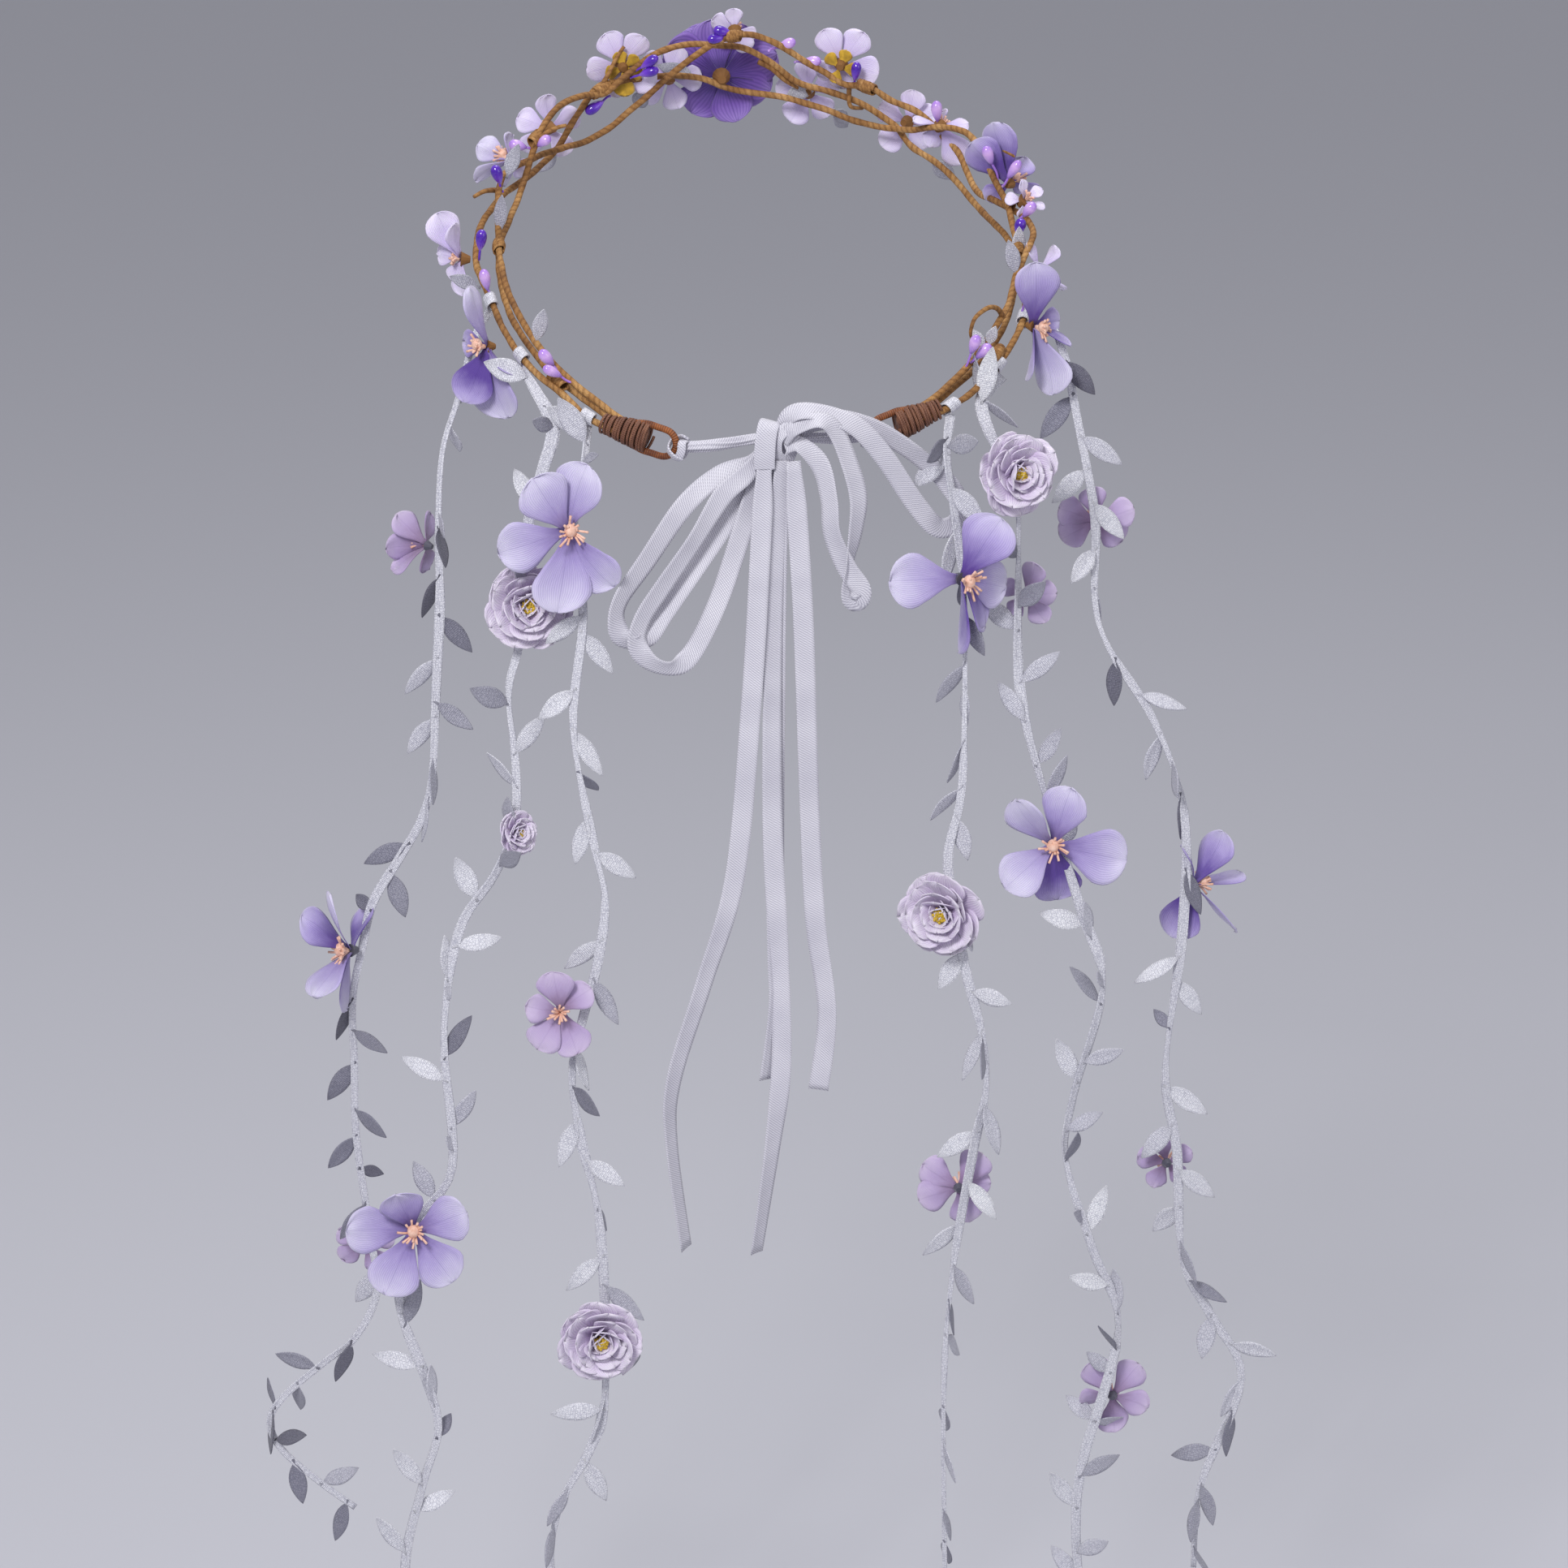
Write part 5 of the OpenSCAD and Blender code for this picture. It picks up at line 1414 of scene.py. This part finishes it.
crownFlowers = {
    "large": [
        (
            (294, 13, 0), (-0.9, -0.35, 0.1),
            [
                (98, 22, 5, 42, 6), (318, 16, 25, -55, 4), (252, 21, -6, 38, 1), (287, 26, 0, 22, 6),
                (170, 13, -50, 0, 3)]),
        (
            (68, 9, 0), (0.85, -0.5, -0.1),
            [
                (88, 23, 0, 40, 4), (256, 19, 5, 24, 5), (283, 25, 8, 66, 9), (328, 15, -6, 45, 1),
                (20, 13, -50, 10, 3)]),
        (
            (108, 5, 0), (0.5, 0.8, 0.2),
            [
                (140, 20, 5, 0, 2), (112, 22, 2, 10, 3), (60, 14, -40, 0, 4), (330, 13, -40, 0, 3),
                (215, 11, -10, 20, 3)]),
        (
            (238, 8, -8), (-0.7, 0.6, 0.2),
            [
                (214, 15, 0, 10, 9), (150, 13, -10, 0, 9), (262, 12, -20, 0, 8), (85, 11, -40, 0, 8),
                (320, 10, -40, 0, 7)])],
    "small": [
        (
            (271, 12, 0), (-1, -0.1, 0.1),
            [
                (112, 18, 0, 62, 8), (92, 13, 12, 35, 7), (276, 13, 0, 30, 8), (160, 10, -40, 0, 8),
                (250, 9, -20, 40, 8)]),
        (
            (206, 7, 2), (-0.2, 0.95, 0.3),
            [
                (118, 13, 0, 0, 7), (52, 13, 0, 8, 8), (195, 13, 5, 0, 8), (325, 14, 8, 0, 7),
                (262, 12, 0, 0, 8)]),
        (
            (181, 11, 5), (0, 0.9, 0.4),
            [
                (92, 8, 5, 0, 10), (158, 9, 0, 0, 9), (340, 8, 0, 0, 9), (300, 9, 10, 0, 7),
                (222, 8, 0, 0, 9)]),
        (
            (158, 5, 0), (0.2, 0.95, 0.2),
            [
                (118, 14, 0, 0, 8), (58, 14, 0, 10, 7), (345, 14, 5, 20, 6), (205, 11, -25, 0, 8),
                (268, 11, -20, 0, 7)]),
        (
            (132, 3, -5), (0.4, 0.8, 0.3),
            [
                (176, 10, 0, 75, 6), (8, 10, 0, 72, 6), (298, 16, 10, 12, 6), (90, 8, -50, 0, 7),
                (240, 10, -20, 10, 6)]),
        (
            (101, 6, 3), (0.6, -0.4, 0.6),
            [
                (105, 7.5, 0, 10, 10), (30, 7, 0, 20, 10), (325, 7.5, 10, 0, 10), (250, 7, 5, 0, 10),
                (178, 7, 0, 15, 10)]),
        (
            (224, 9, -12), (-0.6, 0.8, 0),
            [
                (90, 12, 0, 0, 7), (160, 12, 0, 0, 8), (230, 13, 0, 0, 7), (310, 12, 0, 0, 8),
                (20, 12, 0, 0, 7)]),
        (
            (195, 7, -11), (-0.2, 1, -0.1),
            [
                (70, 12, 0, 0, 7), (140, 12, 0, 0, 6), (215, 13, 0, 0, 7), (288, 12, 0, 0, 7),
                (0, 12, 0, 0, 6)]),
        (
            (165, 7, -19), (0.2, 1, -0.1),
            [
                (95, 12, 0, 0, 7), (165, 12, 0, 0, 7), (238, 13, 0, 0, 6), (310, 12, 0, 0, 7),
                (25, 12, 0, 0, 7)]),
        (
            (143, 9, -20), (0.5, 0.8, -0.1),
            [
                (80, 12, 0, 0, 7), (155, 12, 0, 0, 7), (225, 13, 0, 0, 7), (300, 12, 0, 0, 8),
                (15, 12, 0, 0, 7)]),
        (
            (84, 7, -2), (1, 0.4, -0.1),
            [(60, 11, -20, 0, 7), (120, 11, 0, 50, 7), (250, 11, 0, 40, 6), (310, 12, -20, 0, 7)])],
    "front": [
        (
            (184, 3, -10), (0, 0.95, 0.1),
            [
                (158, 23, -8, 8, 4), (128, 22, -14, 0, 3), (98, 21, -10, -6, 4), (62, 21, -14, 6, 3),
                (24, 22, -8, 0, 4), (340, 20, -10, 0, 3), (290, 19, -12, 0, 4), (235, 20, -12, 0, 3)])],
    "sepals": [
        (
            (206, 5.4, 2), (-0.2, 0.95, 0.3),
            [
                (108, 6.5, 10, 0, 5), (34, 6.5, 10, 0, 5), (200, 7, 10, 0, 5), (335, 7, 10, 0, 5),
                (272, 10, 14, 0, 5)]),
        (
            (158, 3.4, 0), (0.2, 0.95, 0.2),
            [(140, 6.5, 10, 0, 5), (62, 6.5, 10, 0, 5), (348, 6.5, 10, 0, 5), (250, 6, 10, 0, 5)])]}
# root on the wire, lean, whole length, and 1 where the bud is dyed dark
crownBuds = [
    ((237, 0, 0), (-1, -0.2, 0.3), 9, 0), ((237, 0, 0), (0.8, -0.2, 0.6), 8, 0),
    ((252, 1, 1), (-0.3, -0.3, 1), 11, 1), ((272, 6, 1), (0.1, -0.3, 1), 12, 1),
    ((282, 5, 0), (-0.2, -0.2, 1), 11, 0), ((308, -1, 0.5), (-0.6, -0.3, 0.8), 12, 0),
    ((312, -1.5, 1), (-0.8, -0.3, 0.5), 13, 0), ((206, 2, 1), (0.8, -0.3, 0.6), 13.5, 1),
    ((206, 1, 1), (0.9, -0.2, 0.3), 11, 1), ((211, 1, -4), (-0.8, -0.2, -0.5), 11, 1),
    ((181, 0, 13), (-0.9, -0.2, 0.25), 9.5, 1), ((181, 0, 13), (-1, -0.2, -0.1), 11.5, 1),
    ((174, 0, 5), (0.9, -0.2, 0.4), 11, 0), ((168, 1, 0), (1, -0.2, 0.1), 10, 0),
    ((154, 1, -5), (0.1, -0.3, 1), 10, 1), ((132, 2, -6), (-0.1, -0.2, 1), 11, 0),
    ((109, 1, 1), (-0.35, -0.3, 0.9), 15, 0), ((107, 1, 1), (0.5, -0.2, 0.8), 12, 0),
    ((96, 2, 2), (0.6, -0.3, 0.8), 9, 0), ((92, 0, -1), (0.2, -0.3, 1), 9, 1),
    ((70, 4, 1), (0.2, -0.4, 1), 13.5, 0), ((49, -2, 3), (0.3, -0.3, 1), 13.5, 0),
    ((50, -2, 3), (0.7, -0.2, 0.7), 11, 0)]
# root, lean, length, width, and painted light and shade out of ten
crownLeaves = [
    ((265, -1, 2), (0.1, -0.2, 1), 15, 5, 6), ((279, 7, 0), (-0.9, -0.2, 0.4), 12, 5, 6),
    ((299, -1, 3), (0.2, -0.3, 1), 14, 5.5, 8), ((88, 0, -4), (0.05, -0.3, 1), 13, 5, 8),
    ((56, -1, 3), (-0.5, -0.3, 0.9), 9, 4, 9), ((57, -1, 3), (0.35, -0.3, 1), 9, 4, 9),
    ((226, 2, -15), (-0.4, 0.6, -0.6), 16, 6.5, 6), ((202, -1, -7), (-0.3, 0.8, -0.5), 16, 6.5, 5),
    ((158, -1, -17), (0.3, 0.8, -0.5), 16, 6.5, 6), ((132, -0.5, -19.5), (0.6, 0.5, -0.6), 16, 6.5, 6),
    ((190, 1, -7), (-0.8, 0.4, 0.2), 15, 6, 5), ((170, -1, -16), (0.8, 0.4, 0.2), 15, 6, 6),
    ((78, -0.5, 5), (-0.2, 0.1, 1), 13, 5.5, 6), ((248, 2, 1), (0.4, 0.2, 1), 13, 5.5, 6)]
budShape = {"long": 8.4, "thick": 4.2, "stalk": 0.9}


def addBud(bm, stalks, root, lean, whole, deep, rng):
    verts = bmesh.ops.create_uvsphere(bm, u_segments=16, v_segments=12, radius=1)["verts"]
    uv, tintAndShadeLayer = bm.loops.layers.uv["UVMap"], bm.verts.layers.float["tintAndShade"]
    long = min(budShape["long"] * rng.uniform(0.9, 1.05), whole * 0.8)
    thick = budShape["thick"] * rng.uniform(0.9, 1.05) * min(1, long / 7)
    place = aimed(root, lean) @ Matrix.Translation((0, 0, (whole - long) * mm))
    faces = {f for v in verts for f in v.link_faces}
    runs = {}
    for v in verts:
        k = (v.co.z + 1) / 2
        flat = math.hypot(v.co.x, v.co.y) or 1
        r = thick / 2 * 2.45 * k ** 0.95 * (1 - k) ** 0.5 if 0 < k < 1 else 0
        runs[v] = (math.atan2(v.co.y, v.co.x) / (2 * math.pi) + 0.5, k)
        v.co = place @ (Vector((v.co.x / flat * r, v.co.y / flat * r, long * k)) * mm)
        v[tintAndShadeLayer] = deep
    for f in faces:
        f.smooth = True
        for loop in f.loops:
            loop[uv].uv = runs[loop.vert]
    bend = rng.uniform(-0.6, 0.6)
    route = smoothRoute([(0, 0, long - whole), (bend, -bend / 2, (long - whole) / 2), (0, 0, 1.2)], 4)
    sweep(stalks, [place @ (p * mm) for p in route], budShape["stalk"] * mm, budShape["stalk"] * mm,
          place.to_3x3() @ Vector((0, 1, 0)), around=6, boxy=1, tintAndShade=deep)


def makeCrownTrim():
    rng = random.Random(77)
    petals, stamens, hubs = newMesh(), newMesh(), newMesh()
    for at, facing, rows in crownFlowers["large"]:
        place = aimed(onHoop(*at), facing)
        seenPetals(petals, largeFlower, place.translation, facing, rows, rng)
        addStamens(stamens, place @ Matrix.Translation((0, 0, 1.2 * mm)), rng, 15, 5.6, 1.9, 0.8)
        addHub(hubs, place, 0.9)
    finishPiece(petals, "crownLargeFlowers", lilacPetal, "crown", ["crown_large"], "lilac_cloth", solid=0.3)
    petals = newMesh()
    for at, facing, rows in crownFlowers["front"]:
        place = aimed(onHoop(*at), facing)
        seenPetals(petals, frontFlower, place.translation, facing, rows, rng)
        addHub(hubs, place, 1.4)
    finishPiece(petals, "crownFrontFlower", violetPetal, "crown", ["crown_front_flower"], "violet_cloth",
                solid=0.3)
    petals, sepals = newMesh(), newMesh()
    for i, (at, facing, rows) in enumerate(crownFlowers["small"]):
        place = aimed(onHoop(*at), facing)
        seenPetals(petals, smallFlower, place.translation, facing, rows, rng)
        addHub(hubs, place, 1.1)
        if i not in (1, 3):  # the two with sepals have a mustard throat instead
            addStamens(stamens, place @ Matrix.Translation((0, 0, 0.8 * mm)), rng, 9, 3.6, 0)
    for at, facing, rows in crownFlowers["sepals"]:
        seenPetals(sepals, sepalShape, onHoop(*at), facing, rows, rng)
    finishPiece(petals, "crownSmallFlowers", whitePetal, "crown", ["crown_small"], "lilac_cloth", solid=0.28)
    finishPiece(sepals, "crownSepals", mustardFelt, "crown", ["crown_sepals"], "mustard", solid=0.6)
    finishPiece(stamens, "crownStamens", peachPith, "crown", ["crown_large_stamens"], "peach", outward=True)
    finishPiece(hubs, "crownHubs", paperWrap, "crown", (), "twig", outward=True)
    buds, stalks = newMesh(), newMesh()
    for at, lean, whole, deep in crownBuds:
        addBud(buds, stalks, onHoop(*at), lean, whole, float(deep), rng)
    finishPiece(buds, "crownBuds", budLacquer, "crown", ["crown_buds"], "bud", outward=True)
    finishPiece(stalks, "crownBudStalks", budLacquer, "crown", (), "bud", outward=True)
    leaves = newMesh()
    for at, lean, long, wide, shade in crownLeaves:
        facing = Vector((rng.uniform(-0.3, 0.4), -1, 0.2))
        addLeaf(leaves, onHoop(*at), Vector(lean), facing, rng, long, wide, shade / 10)
    finishPiece(leaves, "crownLeaves", silverCloth, "crown", ["crown_leaves"], "silver_cloth",
                solid=vine["leafThick"])


makeCrownTrim()
print("crown trim made")


# floor and light

studio = {"floorDrop": 0.62, "floorHalf": 12, "floorColour": "#bfbfc7",
          "world": "#e4e5eb", "worldPower": 0.56, "aim": (0, -0.05, -0.15),
          "lamps": {  # place, size in metres, watts
              "key": ((-0.7, -1.6, 1.2), 0.5, 33), "fill": ((1.5, -1.3, 0.3), 1.2, 6),
              "top": ((0.2, 0.5, 1.5), 0.8, 12)}}


def makeStudio(s):
    bm = bmesh.new()
    bmesh.ops.create_grid(bm, x_segments=1, y_segments=1, size=s["floorHalf"])
    bmesh.ops.translate(bm, verts=bm.verts, vec=(0, 0, -s["floorDrop"]))
    mesh = bpy.data.meshes.new("studioFloor")
    bm.to_mesh(mesh)
    bm.free()
    floor = bpy.data.objects.new("studioFloor", mesh)
    bpy.context.scene.collection.objects.link(floor)
    mat, tree, shader = newMaterial("matteStudioFloor", Roughness=0.9)
    shader.inputs["Base Color"].default_value = toLinear(s["floorColour"])
    mesh.materials.append(mat)
    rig.stage(floor)
    world = bpy.data.worlds.new("studioWorld")
    bpy.context.scene.world = world
    world.use_nodes = True
    back = world.node_tree.nodes["Background"]
    back.inputs[0].default_value = toLinear(s["world"])
    back.inputs[1].default_value = s["worldPower"]
    for name, (spot, size, power) in s["lamps"].items():
        data = bpy.data.lights.new(name, "AREA")
        data.size = size
        data.energy = power
        lamp = bpy.data.objects.new(name, data)
        lamp.location = spot
        lamp.rotation_euler = (Vector(s["aim"]) - Vector(spot)).to_track_quat("-Z", "Y").to_euler()
        bpy.context.scene.collection.objects.link(lamp)
    bpy.context.scene.view_settings.view_transform = "Standard"


makeStudio(studio)
print("studio made")

json.dump({"cad": cadBox, "visual": [list(corner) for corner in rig.bounds()]}, open("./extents.json", "w"))
